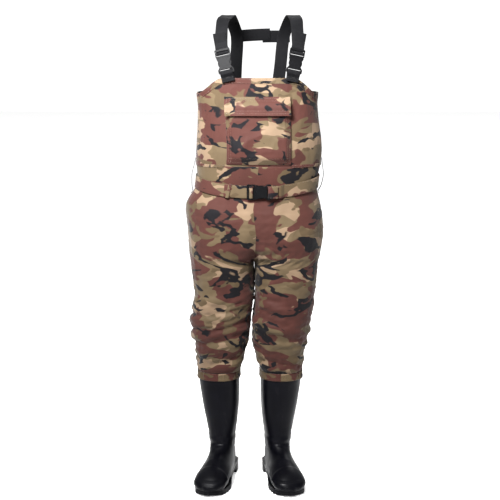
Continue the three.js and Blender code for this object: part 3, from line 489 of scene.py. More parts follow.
def copied(node, name, material, width=0.6 * MM, segments=2, divide=0, push=None):
    """A node's shape with its edges rounded, and a function's displacement along its normals."""
    points, faces = merged(node)
    piece = new_object(name, points, faces.tolist(), material)
    with editing(piece) as shape:
        bmesh.ops.recalc_face_normals(shape, faces=shape.faces)
        bmesh.ops.dissolve_limit(shape, angle_limit=math.radians(4), verts=shape.verts, edges=shape.edges)
    if width:
        round_edges = piece.modifiers.new("rounding", "BEVEL")
        round_edges.width = width
        round_edges.segments = segments
        round_edges.limit_method = "ANGLE"
        round_edges.angle_limit = math.radians(32)
        round_edges.harden_normals = False
    if divide:
        triangles = piece.modifiers.new("triangles", "TRIANGULATE")
        triangles.min_vertices = 5
        finer_mesh = piece.modifiers.new("finer", "SUBSURF")
        finer_mesh.subdivision_type = "SIMPLE"
        finer_mesh.levels = finer_mesh.render_levels = divide
    even = piece.modifiers.new("shading", "WEIGHTED_NORMAL")
    even.keep_sharp = False
    baked(piece)
    piece.data.polygons.foreach_set("use_smooth", [True] * len(piece.data.polygons))
    if push:
        for vertex, normal in [(v, v.normal.copy()) for v in piece.data.vertices]:
            vertex.co += normal * push(np.array(vertex.co))
    return piece


def moulded(node, name, material, slot, body="garment", **shape):
    """A rounded copy of a node, finished as the piece that stands for it."""
    return keep(copied(node, name, material, **shape), slot, node, body=body)


def strip_across(line, widths):
    """Unit directions across and out of a strip at each of its points."""
    along = unit(np.gradient(line, axis=0))
    across = unit(widths - along * np.sum(widths * along, axis=1, keepdims=True))
    return across, np.cross(along, across)


ROUNDED = np.array([
    [-1, -0.35], [-0.985, -0.8], [-0.95, -1], [-0.5, -1], [0, -1], [0.5, -1], [0.95, -1], [0.985, -0.8],
    [1, -0.35], [1, 0.35], [0.985, 0.8], [0.95, 1], [0.5, 1], [0, 1], [-0.5, 1], [-0.95, 1], [-0.985, 0.8],
    [-1, 0.35],
])  # a strip's section, in half widths and half thicknesses


def strip_piece(name, line, widths, width, thickness, material, times=3, wave=None):
    """A strip with rounded edges along a line, closed at its ends. wave gives shifts out of its plane."""
    line, widths = finer(line, times), unit(finer(widths, times))
    across, out = strip_across(line, widths)
    half = np.array([width, thickness]) / 2
    section = ROUNDED * half
    travelled = distances(line)
    rings = line[:, None] + across[:, None] * section[None, :, :1] + out[:, None] * section[None, :, 1:]
    if wave:
        shift = wave(travelled[:, None], section[None, :, 0] / half[0])
        rings = rings + out[:, None] * shift[..., None]
    count = len(ROUNDED)
    faces = grid_faces(len(rings), count, loop=True)
    uv = np.stack(np.broadcast_arrays(distances(section)[None, :], travelled[:, None]), axis=-1)
    if material is CAMO:
        uv = uv[..., ::-1] + len(name) * 0.37
    uvs = corner_uvs(faces, uv).tolist()
    for ring, turn in ((0, 1), (len(rings) - 1, -1)):
        cap = [ring * count + i for i in range(count)][::turn]
        faces.append(cap)
        uvs += uv.reshape(-1, 2)[cap].tolist()
    piece = new_object(name, rings, faces, material, uvs=uvs)
    face_outward(piece)
    return piece, line, across, out


STITCH = np.array([
    [-1, 0, -0.3], [-0.55, -0.8, 0.35], [-0.55, 0.8, 0.35], [-0.5, 0, 0.9], [0.5, 0, 0.9], [0.55, -0.8, 0.35],
    [0.55, 0.8, 0.35], [1, 0, -0.3],
])
STITCH_FACES = [(0, 1, 3), (0, 3, 2), (1, 5, 4, 3), (3, 4, 6, 2), (7, 4, 5), (7, 6, 4), (0, 2, 6, 7, 5, 1)]
STITCH_WIDTH, STITCH_HEIGHT = 0.8 * MM, 0.55 * MM


class Stitching:
    """Collects stitches and makes them one object."""

    def __init__(self):
        self.points, self.faces = [], []

    def row(self, line, normals, pitch=4.6 * MM, length=3.2 * MM, lift=0.0):
        """Stitches along a polyline that lies on a surface with these normals."""
        line, normals = np.asarray(line), np.asarray(normals)
        count = max(2, int(distances(line)[-1] / pitch))
        both = spaced(np.concatenate([line, normals * 1e-6], axis=1), count + 1)
        at, out = both[:, :3], unit(both[:, 3:])
        along = unit(np.gradient(at, axis=0))
        out = unit(out - along * np.sum(out * along, axis=1, keepdims=True))
        across = np.cross(out, along)
        size = np.array([length / 2, STITCH_WIDTH / 2, STITCH_HEIGHT])
        for i in range(count + 1):
            base = len(self.points)
            axes = np.stack([along[i], across[i], out[i]])
            self.points.extend((at[i] + out[i] * lift) + (STITCH * size) @ axes)
            self.faces.extend(tuple(base + k for k in face) for face in STITCH_FACES)

    def build(self, name, material, slot, body="garment"):
        piece = new_object(name, self.points, self.faces, material)
        return keep(piece, slot, body=body)


# ---- Legs and seat ----

LEG_COLUMNS = 64  # round each leg, from the inside seam through the front and back to it
BELOW_CROTCH = np.linspace(CUFF_TOP, CROTCH - 3 * MM, 47)
LEG_HEIGHTS = np.concatenate([BELOW_CROTCH, np.linspace(CROTCH + 3 * MM, SEAM_HEIGHT, 42)])
LEG_RAYS = 90  # for each half of a leg at a height
SPREAD_HEIGHTS = np.array([352, 386, 438, 523, 610, 700, 750, 800, 1010]) * MM
SPREADS = np.array([101, 97, 92, 97, 97, 98, 82, 60, 60]) * MM  # from the stance to each leg's middle


def leg_contour(tree, side, z):
    """The outside of a leg at a height as two polylines: from the inside seam to the outside, and back."""
    axis = body_axis(np.clip(z, CUFF_TOP + 0.6 * MM, SEAM_HEIGHT - 0.8 * MM))
    centre = axis + (side * np.interp(z, SPREAD_HEIGHTS, SPREADS), 0, 0)
    halves = []
    for start in (0, math.pi):
        line = []
        for angle in start + math.pi * (np.arange(LEG_RAYS) + 0.5) / LEG_RAYS:
            direction = np.array([-side * math.cos(angle), -math.sin(angle), 0])
            point = hit(tree, centre + direction * RAY_START, -direction)
            if point is not None and (point - centre) @ direction > 12 * MM:
                line.append(point)
        halves.append(line)
    front, back = halves
    outside = (front[-1] + back[0]) / 2
    first, last = front[0].copy(), back[-1].copy()
    if z > CROTCH:
        first[0] = last[0] = axis[0]
    else:
        first = last = (first + last) / 2
    return [first, *front, outside], [outside, *back, last]


def leg_grid(name):
    side = SIDES[name]
    tree = tree_of(f"{name}_leg_front_panel", f"{name}_leg_back_panel")
    half = LEG_COLUMNS // 2 + 1
    rows = []
    for z in LEG_HEIGHTS:
        front, back = leg_contour(tree, side, z)
        rows.append(np.concatenate([spaced(front, half), spaced(back, half)[1:]]))
        rows[-1][:, 2] = z
    return np.array(rows)


def share_middle(legs, above):
    """Gives both legs' grids the same points on the middle seams, in the rows above the crotch."""
    for column in (0, -1):
        shared = (legs["left"][above, column] + legs["right"][above, column]) / 2
        for grid in legs.values():
            grid[above, column] = shared
    return legs


def outward(name, grid):
    return grid_normals(grid) * (1 if name == "right" else -1)


def folds(point, scale, stretch=(1, 1, 1), seed=0.0):
    """Sharp-crested ripples, from about -1 to 1."""
    where = Vector(point) * scale
    where = Vector((where.x * stretch[0], where.y * stretch[1], where.z * stretch[2] + seed))
    return 0.5 - 2.2 * abs(noise.noise(where) + 0.35 * noise.noise(where * 2.1))


def folds_over(grid, *kind):
    return np.array([[folds(p, *kind) for p in row] for row in grid])


def cloth_room(points):
    """How free the leg cloth is: 0 at the boot cuffs and from just below the belt up, 1 between."""
    z = points[..., 2]
    return smooth(z, CUFF_TOP, CUFF_TOP + 22 * MM) * (1 - smooth(z, BELT_LOW - 55 * MM, BELT_LOW - 12 * MM))


THIGH_HEIGHTS = np.array([352, 387, 426, 446, 484, 562, 600, 700]) * MM
THIGH_GAPS = np.array([40, 19, 12, 6, 2.5, 2.2, 0.3, 0.3]) * MM  # from the middle of the stance to each leg


def fold_depth(point, side):
    """How far worn cloth stands off at a point: long soft drapes on the thigh, sharp rolls on the shin."""
    z = point[2]
    shin = 1 - smooth(z, 560 * MM, 660 * MM)
    slanted = point + (0, 0, 0.25 * side * (point[0] - SHIFT[0]))
    rolls = folds(slanted, 7.5, (0.7, 0.7, 2.7), 3.0 + side) + 0.2
    drapes = folds(point, 6.5, (1.5, 1.1, 0.55), 9.0 + side)
    knee = math.exp(-(((z - 520 * MM) / (70 * MM)) ** 2))
    blouse = math.exp(-(((z - 394 * MM) / (24 * MM)) ** 2))
    return (rolls * (6.0 + 2.5 * knee) * shin + drapes * 4.2 * (1 - shin) + 7.5 * blouse) * MM


def wrinkled_legs():
    """The legs with the folds of worn cloth. The inner thighs stay on their own sides of the middle."""
    legs = share_middle({name: leg_grid(name) for name in SIDES}, LEG_HEIGHTS > CROTCH)
    result = {}
    for name, grid in legs.items():
        side = SIDES[name]
        depth = np.array([[fold_depth(p, side) for p in row] for row in grid]) * cloth_room(grid)
        moved = grid + outward(name, grid) * np.clip(depth, -12 * MM, 12 * MM)[..., None]
        middle = np.interp(moved[..., 2], STANCE_HEIGHTS, STANCE_SHIFTS) + SHIFT[0]
        apart = side * (moved[..., 0] - middle)
        nearest = apart.min(1, keepdims=True)
        wanted = np.interp(moved[..., 2], THIGH_HEIGHTS, THIGH_GAPS)
        spare = np.clip(nearest - wanted, 0, 18 * MM)
        reach = 1 - smooth(apart - nearest, 0, 55 * MM)
        below = LEG_HEIGHTS < CROTCH
        moved[below, :, 0] = (middle + side * np.maximum(apart - spare * reach, 0.3 * MM))[below]
        result[name] = moved
    return share_middle(result, LEG_HEIGHTS > CROTCH)


def panel_uv(grid, seed):
    """Metres round and up a panel, shifted by the seed to the panel's own place in the print."""
    steps = np.linalg.norm(np.diff(grid, axis=1), axis=-1)
    travelled = np.concatenate([np.zeros((len(grid), 1)), np.cumsum(steps, axis=1)], axis=1)
    return np.stack([travelled + seed, grid[..., 2] + 0.37 * seed], axis=-1)


def build_legs():
    grids = {}
    for name, grid in wrinkled_legs().items():
        grid = finer_grid(grid, 2, 2)
        low = 1 - smooth(grid[..., 2], 560 * MM, 700 * MM)
        creases = folds_over(grid, 24, (0.9, 0.9, 1.9), 5.0) * cloth_room(grid) * (0.9 + 1.7 * low) * MM
        grid = grid + outward(name, grid) * creases[..., None]
        below = grid[:, 0, 2] < CROTCH - 2 * MM
        grid[below, -1] = grid[below, 0]
        grids[name] = grid
    share_middle(grids, grids["left"][:, 0, 2] >= CROTCH - 2 * MM)
    points, faces, uvs = [], [], []
    for index, (name, grid) in enumerate(grids.items()):
        half = grid.shape[1] // 2 + 1
        for panel, part in enumerate((grid[:, :half], grid[:, half - 1:])):
            quads = np.array(grid_faces(*part.shape[:2]))
            quads = quads[:, ::-1] if name == "right" else quads
            uvs.append(corner_uvs(quads, panel_uv(part, 0.61 * (2 * index + panel))))
            faces += (quads + sum(len(p) for p in points)).tolist()
            points.append(part.reshape(-1, 3))
    legs = new_object("legs_and_seat", np.concatenate(points), faces, CAMO, LINING, uvs=np.concatenate(uvs))
    with editing(legs) as shape:
        bmesh.ops.remove_doubles(shape, verts=shape.verts, dist=0.15 * MM)
    thickened(legs, CLOTH, 1)
    nodes = [f"{name}_leg_{facing}_panel" for name in SIDES for facing in ("front", "back")]
    keep(legs, "camouflage_cloth", *nodes)
    return grids


def seam(name, line, normals, stitches, width=8 * MM, rows=(-0.3, 0.3), lift=0.35 * MM):
    """A lapped seam that follows a line on the cloth, with rows of stitches along it."""
    along = unit(np.gradient(line, axis=0))
    across = unit(np.cross(along, normals))
    normals = unit(np.cross(across, along))
    piece = strip_piece(name, line + normals * lift, across, width, 1.0 * MM, CAMO, times=1)[0]
    for row in rows:
        stitches.row(line + across * row * width + normals * (lift + 0.5 * MM), normals)
    return keep(piece, "camouflage_cloth")


def build_leg_seams(grids, stitches):
    for name, grid in grids.items():
        normals = outward(name, grid)
        outside = grid.shape[1] // 2
        top = int(np.searchsorted(grid[:, 0, 2], BELT_LOW - 10 * MM))
        seam(f"{name}_side_seam", grid[:top, outside], normals[:top, outside], stitches)
        below = grid[:, 0, 2] < CROTCH - 6 * MM
        inside = unit(normals[below, 0] + normals[below, -1])
        seam(f"{name}_inside_seam", grid[below, 0], inside, stitches, rows=(0.3,))
    left = grids["left"]
    above = left[:, 0, 2] > CROTCH + 4 * MM
    for where, column in (("front", 0), ("back", -1)):
        normals = unit(sum(outward(name, grid)[above, column] for name, grid in grids.items()))
        line = left[above, column]
        height = line[:, 2]
        for part, rows in (("", height < BELT_LOW - 8 * MM), ("upper_", height > BELT_HIGH + 2 * MM)):
            if np.count_nonzero(rows) > 3:
                seam(f"{part}{where}_seam", line[rows], normals[rows], stitches, lift=1.3 * MM)


# ---- Bib ----


def top_of(tree, angle):
    """The greatest height at which a panel is seen in a direction."""
    low, high = SEAM_HEIGHT + 4 * MM, BIB_TOP + 4 * MM
    while high - low > 0.2 * MM:
        middle = (low + high) / 2
        if seen_from_outside(tree, body_axis(middle), angle) is None:
            high = middle
        else:
            low = middle
    return low


BIB_COLUMNS, BIB_ROWS = 72, 38


def bib_grid(node, start):
    """The outside of a half of the bib, from its bottom seam up and from one side seam to the other."""
    tree = tree_of(node)
    inset = 0.022  # keeps the rays off the open side seams
    angles = np.linspace(start + inset, start + math.pi - inset, BIB_COLUMNS)
    grid = np.zeros((BIB_ROWS, BIB_COLUMNS, 3))
    for c, angle in enumerate(angles):
        top = top_of(tree, angle) - 0.3 * MM
        for r, z in enumerate(np.linspace(SEAM_HEIGHT + 0.8 * MM, top, BIB_ROWS)):
            found = seen_from_outside(tree, body_axis(z), angle)
            grid[r, c] = (*grid[r - 1, c, :2], z) if found is None else found
    grid[0, :, 2] = SEAM_HEIGHT
    return grid


def bib_halves():
    """The grids of the bib's front and back, which share the lines of the side seams."""
    front, back = bib_grid("bib_front_panel", -math.pi / 2), bib_grid("bib_back_panel", math.pi / 2)
    left, right = (front[:, -1:] + back[:, :1]) / 2, (front[:, :1] + back[:, -1:]) / 2
    return np.concatenate([right, front, left], axis=1), np.concatenate([left, back, right], axis=1)


COVERED = []  # boxes in x and z, on the front or the back, in which the cloth lies under another piece


def cover(node, margin):
    low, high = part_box(node)
    COVERED.append((low.x - margin, high.x + margin, low.z - margin, high.z + margin, low.y < 0.02))


def uncovered(points, front):
    """1 where the cloth is free, falling to 0 where another piece lies on it."""
    free = np.ones(points.shape[:-1])
    soft = 9 * MM  # over which the cloth becomes free
    for x0, x1, z0, z1, faces_front in COVERED:
        if faces_front == front:
            inside_x = smooth(points[..., 0], x0 - soft, x0) * (1 - smooth(points[..., 0], x1, x1 + soft))
            inside_z = smooth(points[..., 2], z0 - soft, z0) * (1 - smooth(points[..., 2], z1, z1 + soft))
            free *= 1 - inside_x * inside_z
    return free


def build_bib_half(name, node, grid, front):
    grid = finer_grid(grid, 3, 3)
    normals = grid_normals(grid)
    rows, columns = grid.shape[:2]
    up = np.linspace(0, 1, rows)[:, None]
    turn = np.abs(np.linspace(-1, 1, columns))[None, :]
    free = uncovered(grid, front)
    big = folds_over(grid, 8, (1.5, 1.5, 0.65), 3.0)
    small = folds_over(grid, 21, (1.6, 1.6, 0.8), 9.0)
    push = (big * 3.0 + small * 0.9) * MM * smooth(up, 0, 0.12) * (0.35 + 0.65 * smooth(turn, 0.15, 0.6))
    push = np.where(push > 0, push * free, push * 0.8)
    # the elastic gathers the slopes of the front's top edge, and all of the back's
    travelled = np.cumsum(np.linalg.norm(np.diff(grid[-1], axis=0, prepend=grid[-1, :1]), axis=1))[None, :]
    slope = smooth(turn, 0.62, 0.74) if front else np.ones_like(turn)
    gather = smooth(up, 0.78, 0.95) * slope
    irregular = 0.55 + 0.45 * np.sin(travelled / 0.031 + 1.3)
    ripple = np.sin(travelled / (8.5 * MM) * 2 * math.pi + 2.2 * np.sin(travelled / 0.019)) * irregular
    push = push + gather * ripple * (1.9 * MM) * np.maximum(free, 0.12) + gather * slope * free * 1.2 * MM
    grid = grid + normals * (push * (1 - smooth(turn, 0.95, 0.995)))[..., None]
    cloth_panel(name, grid, normals, 3.1 if front else 5.7, node)
    return grid


def cloth_panel(name, grid, normals, seed, node, body="garment"):
    """A lined sheet of cloth on a grid, facing along these normals."""
    piece = surface(name, grid, panel_uv(grid, seed), CAMO, LINING)
    face_along(piece, 5 * grid.shape[1], normals[5, 5])
    return keep(thickened(piece, CLOTH, 1), "camouflage_cloth", node, body=body)


def hem(name, edge, inward, normals, width, stitches, rows=(0.35,)):
    """A turned hem along a cloth edge: a strip that lies on the cloth from the edge inwards."""
    middle = edge + inward * (width / 2) + normals * 0.45 * MM
    piece = strip_piece(name, middle, inward, width, 1.0 * MM, CAMO, times=1)[0]
    for row in rows:
        stitches.row(middle + inward * row * width + normals * 0.5 * MM, normals)
    return keep(piece, "camouflage_cloth")


def build_bib(stitches):
    halves = bib_halves()
    bib = {
        "front": build_bib_half("bib_front", "bib_front_panel", halves[0], True),
        "back": build_bib_half("bib_back", "bib_back_panel", halves[1], False),
    }
    for facing, grid in bib.items():
        rows_down = 12  # to the row that the hem's direction is taken from
        inward = unit(grid[-1 - rows_down] - grid[-1])
        normals = grid_normals(grid)[-1]
        hem(f"bib_{facing}_top_hem", grid[-1], inward, normals, 17 * MM, stitches, rows=(0.36, -0.3))
    for name, column in (("left", -1), ("right", 0)):
        line = bib["front"][2:-6, column]
        seam(f"{name}_bib_side_seam", line, np.zeros_like(line) + (SIDES[name], 0, 0), stitches)
    return bib


def beside(point, low, high):
    """Whether a point is inside a box in plan, or close beside it."""
    return low.y - 2 * MM < point[1] < high.y + 2 * MM and low.x - 20 * MM < point[0] < high.x + 20 * MM


def build_waist_seam(bib, stitches):
    """The seam between the bib and the legs, which stops at the pocket and at the belt loops."""
    loops = [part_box(f"{name}_belt_loop") for name in SIDES]
    for facing, node in (("front", "chest_pocket_pouch"), ("back", "back_belt_loop")):
        line = bib[facing][1, 2:-2] - (0, 0, 1.5 * MM)
        low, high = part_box(node)
        parts = [line[line[:, 0] < low.x - 2 * MM], line[line[:, 0] > high.x + 2 * MM]]
        for index, part in enumerate(parts):
            clear = np.array([p for p in part if not any(beside(p, *loop) for loop in loops)])
            away = unit((clear - body_axis(SEAM_HEIGHT)) * (1, 1, 0))
            seam(f"waist_seam_{facing}_{index}", clear, away, stitches, width=9 * MM, lift=0.5 * MM)


# ---- Chest pocket ----


def front_grid(node, columns, rows):
    """The front of a node that faces forwards, from its lower edge up."""
    tree = tree_of(node)
    low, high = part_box(node)
    grid = []
    for z in np.linspace(low.z + 0.3 * MM, high.z - 0.3 * MM, rows):
        line = [hit(tree, (x, low.y - 0.2, z), (0, 1, 0)) for x in np.linspace(low.x, high.x, 240)]
        grid.append(spaced([point for point in line if point is not None], columns))
    return np.array(grid)


def build_pocket(stitches):
    pouch = finer_grid(front_grid("chest_pocket_pouch", 40, 30), 3, 3)
    normals = grid_normals(pouch)
    rows, columns = pouch.shape[:2]
    up = np.linspace(0, 1, rows)[:, None]
    turn = np.abs(np.linspace(-1, 1, columns))[None, :]
    inside = smooth(1 - turn, 0, 0.16) * smooth(up, 0, 0.14) * (1 - smooth(up, 0.66, 0.78))
    big = folds_over(pouch, 9, (1.0, 1.0, 1.2), 21.0)
    small = folds_over(pouch, 24, (1.2, 1.0, 1.0), 31.0)
    pouch = pouch + normals * ((big * 2.6 + small * 0.8) * inside * MM)[..., None]
    cloth_panel("pocket_pouch", pouch, normals, 8.3, "chest_pocket_pouch")
    normals = grid_normals(pouch)
    for row in (4, 10):
        stitches.row(pouch[row, 6:-6], normals[row, 6:-6])
    for column in (4, 9, -5, -10):
        stitches.row(pouch[5:-18, column], normals[5:-18, column])


def build_flap():
    """The pocket flap cloth, its stitches and its hook tape. The tape rides the pocket_flap body; the cloth
    and the stitches are attached to no body.
    """
    flap = finer_grid(front_grid("chest_pocket_flap", 44, 12), 3, 3)
    normals = grid_normals(flap)
    rows, columns = flap.shape[:2]
    up = np.linspace(0, 1, rows)[:, None]
    waves = folds_over(flap, 15, (1.3, 1.0, 0.6), 41.0)
    free = 1 - smooth(up, 0.45, 0.9)
    curl = (1 - smooth(up, 0, 0.35)) * 2.4 * MM
    flap = flap + normals * ((waves * 1.3 * MM + 0.7 * MM) * free + curl)[..., None]
    piece = cloth_panel("pocket_flap_cloth", flap, normals, 9.9, "chest_pocket_flap", body=None)
    normals = grid_normals(flap)
    sewn = Stitching()
    for row in (4, 9, rows - 4, rows - 8):
        sewn.row(flap[row, 5:-5], normals[row, 5:-5])
    for column in (4, columns - 5):
        sewn.row(flap[5:-4, column], normals[5:-4, column])
    threads = sewn.build("flap_stitches", TAN_THREAD, "camouflage_cloth", body=None)
    for part in (piece, threads):
        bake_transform(part)
    napped = {"width": 0, "divide": 3, "push": fuzz}
    moulded("flap_hook_tape", "flap_hooks", HOOKS, "hook_and_loop", "pocket_flap", **napped)
    moulded("pocket_loop_tape", "pocket_loops", HOOKS, "hook_and_loop", **napped)


def fuzz(point):
    return 0.25 * MM * noise.noise(Vector(point) * 900)


# ---- Webbing, belt and loops ----


def soft_wave(size, length, seed):
    """Shifts that make a strip lie a little unevenly, and dish slightly across its width."""

    def wave(travelled, across):
        along = np.array([noise.noise(Vector((t / length, seed, 0))) for t in travelled[:, 0]])[:, None]
        tilt = np.array([noise.noise(Vector((t / length, seed + 9, 0))) for t in travelled[:, 0]])[:, None]
        ends = smooth(travelled, 0, 0.02) * (1 - smooth(travelled, travelled[-1] - 0.02, travelled[-1]))
        return size * ends * (0.6 * along + 0.6 * tilt * across)

    return wave


def box_stitch(stitches, line, across, out, width, half_length, lift):
    """A sewn rectangle with crossed diagonals, at the middle of a short stretch of strip."""
    middle = len(line) // 2
    centre, side, normal = line[middle], across[middle], out[middle]
    along = np.cross(side, normal)
    corners = [(-1, -1), (1, -1), (1, 1), (-1, 1), (-1, -1), (1, 1), (-1, 1), (1, -1)]
    reach = np.array([width / 2 - 4.5 * MM, half_length])
    points = [centre + side * a * reach[0] + along * b * reach[1] for a, b in corners]
    for start, end in zip(points, points[1:]):
        stitches.row([start, end], [normal, normal], pitch=3.4 * MM, length=2.6 * MM, lift=lift)


def build_strip(node, material, slot, wave=None, times=3, body="garment"):
    """A node that is a flat strip, as its finished piece with the lines and sizes it was made from."""
    middle, widths, width, thickness = strip_sections(node)
    made = strip_piece(f"{node}_cloth", middle, widths, width, thickness, material, times, wave)
    piece, line, across, out = made
    keep(piece, slot, node, body=body)
    return SimpleNamespace(piece=piece, line=line, across=across, out=out, width=width, lift=thickness / 2)


def facing_away(strip):
    """Directions out of a strip that point away from the body."""
    away = unit((strip.line - body_axis(BELT_LOW)) * (1, 1, 0))
    return strip.out * np.sign(np.sum(strip.out * away, axis=1, keepdims=True) + 1e-9)


def build_webbing(stitches):
    for name, side in SIDES.items():
        wave = soft_wave(1.0 * MM, 0.09, side)
        strap = build_strip(f"{name}_shoulder_strap", WEBBING, "black_webbing", wave)
        end = slice(2, 26) if strap.line[0, 2] < strap.line[-1, 2] else slice(-26, -2)
        facing = strap.out[end] * np.sign(strap.out[end][:, 1:2] + 1e-9)
        box_stitch(stitches, strap.line[end], strap.across[end], facing, strap.width, 13 * MM, strap.lift)
        adjuster = build_strip(f"{name}_strap_adjuster", WEBBING, "black_webbing", body=None)
        end = np.array(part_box(f"{name}_buckle_frame")[1]) + (0, 0, 4 * MM)
        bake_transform(adjuster.piece)
        tab = build_strip(f"{name}_buckle_tab", WEBBING, "black_webbing")
        flat = (np.abs(tab.line[:, 2] - BIB_TOP) < 9 * MM) & (tab.out[:, 1] != 0)
        stack = tab.line[flat]
        if len(stack) > 3:
            front = stack[:, 1] < np.median(stack[:, 1]) + 0.1 * MM
            out = tab.out[flat][front]
            facing = out * -np.sign(out[:, 1:2])
            box_stitch(stitches, stack[front], tab.across[flat][front], facing, tab.width, 7 * MM, tab.lift)
        build_strip(f"{name}_cross_strap", WEBBING, "black_webbing")


def build_belt(stitches):
    belt = build_strip("belt", CAMO, "camouflage_cloth", soft_wave(0.5 * MM, 0.05, 4.0), times=2)
    sewn = slice(60, None)  # the first stretch has no stitches
    for side in (-1, 1):
        line = belt.line[sewn] + belt.across[sewn] * side * (belt.width / 2 - 3 * MM)
        stitches.row(line, facing_away(belt)[sewn], lift=belt.lift)
    adjuster = build_strip("belt_adjuster", CAMO, "camouflage_cloth", body=None)
    low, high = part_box("belt_buckle_frame")
    end = (low.x - 3 * MM, (low.y + high.y) / 2, (low.z + high.z) / 2)
    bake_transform(adjuster.piece)
    box_uv(moulded("belt_keeper", "keeper", CAMO, "camouflage_cloth", width=0.5 * MM))
    for name in ("left", "right", "back"):
        loop = build_strip(f"{name}_belt_loop", CAMO if name == "back" else LOOP_TAPE, "camouflage_cloth")
        for end in (slice(2, 8), slice(-8, -2)):
            for side in (-0.3, 0.3):
                line = loop.line[end] + loop.across[end] * side * loop.width
                stitches.row(line, facing_away(loop)[end], lift=loop.lift, pitch=3 * MM)


def box_uv(piece):
    """Texture coordinates in metres, from whichever axis each face looks along."""
    mesh = piece.data
    layer = mesh.uv_layers.new(name="UVMap") if not mesh.uv_layers else mesh.uv_layers[0]
    for face in mesh.polygons:
        axis = int(np.argmax(np.abs(face.normal)))
        first, second = [i for i in range(3) if i != axis]
        for corner in face.loop_indices:
            co = mesh.vertices[mesh.loops[corner].vertex_index].co
            layer.data[corner].uv = (co[first] + 2.3, co[second] + 1.1)


def build_buckles():
    prongs = {"left": ("outer", "inner"), "right": ("inner", "outer"), "belt": ("upper", "lower")}
    for name, pair in prongs.items():
        clip = f"{name}_buckle_clip"
        pieces = [("buckle_socket", "socket", 0.9 * MM, "garment"), ("buckle_frame", "frame", 0.7 * MM, clip)]
        for part, short, width, body in pieces:
            moulded(f"{name}_{part}", f"{name}_{short}_moulding", PLASTIC, "buckle_plastic", body,
                    width=width, segments=3)
        for which in pair:
            prong = f"{name}_buckle_prong_{which}"
            moulded(prong, f"{prong}_moulding", PLASTIC, "buckle_plastic", prong, width=0.6 * MM, segments=3)


# ---- Boots ----

TOE_OUT = math.radians(12)
BOOT_SPREAD = 88 * MM  # from the middle of the stance to each boot's middle
UPPER_RINGS = 14
TURNS = np.linspace(0, 2 * math.pi, 241)[:-1]  # directions round a boot, from the front


def boot_frame(points, side):
    """Points in a boot's own frame: x outwards, y from the toe to the heel, z up."""
    moved = points - SHIFT - (STANCE_SHIFTS[0] + side * BOOT_SPREAD, 0, 0)
    cosine, sine = math.cos(side * TOE_OUT), math.sin(side * TOE_OUT)
    x = cosine * moved[..., 0] + sine * moved[..., 1]
    y = -sine * moved[..., 0] + cosine * moved[..., 1]
    return np.stack([side * x, y, moved[..., 2]], axis=-1)


def upper_rings(node):
    """The outside of an upper as rings of points, from its top edge to its toe, and the toe's tip."""
    points, faces = merged(node)
    near = neighbours(faces, len(points))
    busy = sorted(range(len(points)), key=lambda i: -len(near[i]))[:2]
    tip = min(busy, key=lambda i: points[i, 1])
    seen, ring, ordered = {tip}, {tip}, []
    aim = points[tip] + (0, 0, 1)  # each ring starts as near as it can to where the last one did
    while len(ordered) < UPPER_RINGS:
        ring = set().union(*(near[i] for i in ring)) - seen
        seen |= ring
        walk = [min(ring, key=lambda i: np.sum((points[i] - aim) ** 2))]
        while len(walk) < len(ring):
            ahead = [i for i in near[walk[-1]] & ring if i not in walk]
            ahead.sort(key=lambda i: np.sum((points[i] - points[walk[-1]]) ** 2))
            if len(walk) == 1:
                ahead.sort(key=lambda i: -points[i, 0])
            walk.append(ahead[0])
        ordered.append(points[walk])
        aim = points[walk[0]]
    return np.array(ordered[::-1]), points[tip]


def boot_relief(local):
    """How far the moulded upper stands out at points of a boot's own frame."""
    x, y, z = local[..., 0], local[..., 1], local[..., 2]
    toe_cap = smooth(-y, 139 * MM, 143 * MM) * 1.3 * MM
    bumper = smooth(-y, 168 * MM, 172 * MM) * (1 - smooth(z, 44 * MM, 48 * MM)) * 1.2 * MM
    foxing = (1 - smooth(z, 40 * MM, 43 * MM)) * 1.1 * MM
    heel = smooth(y, 30 * MM, 34 * MM) * (1 - smooth(z, 84 * MM, 88 * MM)) * 1.4 * MM
    collar = smooth(z, 316 * MM, 318 * MM) * 0.9 * MM
    ridge = np.exp(-((x / (1.6 * MM)) ** 2)) * smooth(z, 110 * MM, 150 * MM) * 0.7 * MM
    return toe_cap + bumper + foxing + heel + collar + ridge


def boot_creases(local):
    """The soft folds of the shaft, and the sharper ones where the ankle bends."""
    z = local[..., 2]
    ankle = np.exp(-(((z - 125 * MM) / (34 * MM)) ** 2))
    instep = np.exp(-(((z - 88 * MM) / (16 * MM)) ** 2)) * smooth(-local[..., 1], 60 * MM, 90 * MM)
    bends = folds_over(local, 20, (0.55, 0.9, 2.3), 2.0)
    broad = np.array([[noise.noise(Vector(p * (9, 9, 4.2))) for p in row] for row in local])
    shaft = smooth(z, 120 * MM, 175 * MM) * (1 - smooth(z, 300 * MM, 330 * MM))
    return bends * (ankle * 1.9 + instep * 0.8) * MM + broad * (shaft * 4.2 + 0.4) * MM


def build_upper(name):
    node = f"{name}_boot_upper"
    rings, tip = upper_rings(node)
    grid = finer_grid(rings, 8, 5, loop=True)
    normals = grid_normals(np.concatenate([grid, grid[:, :1]], axis=1))[:, :-1]
    if np.sum(normals * (grid - grid.mean(1, keepdims=True))) < 0:
        normals = -normals
    local = boot_frame(grid, SIDES[name])
    push = (boot_relief(local) + boot_creases(local)) * smooth(normals[..., 2], -0.9, -0.55)
    grid = grid + normals * push[..., None]
    rows, columns = grid.shape[:2]
    last = (rows - 1) * columns
    faces = grid_faces(rows, columns, loop=True)
    faces += [(last + c, last + (c + 1) % columns, last + columns) for c in range(columns)]
    points = np.concatenate([grid.reshape(-1, 3), [tip]])
    upper = new_object(f"{name}_upper_rubber", points, faces, RUBBER, FELT)
    face_outward(upper)
    face_along(upper, 3 * columns, normals[3, 0])
    keep(thickened(upper, 2.2 * MM, 1), "boot_rubber", node)


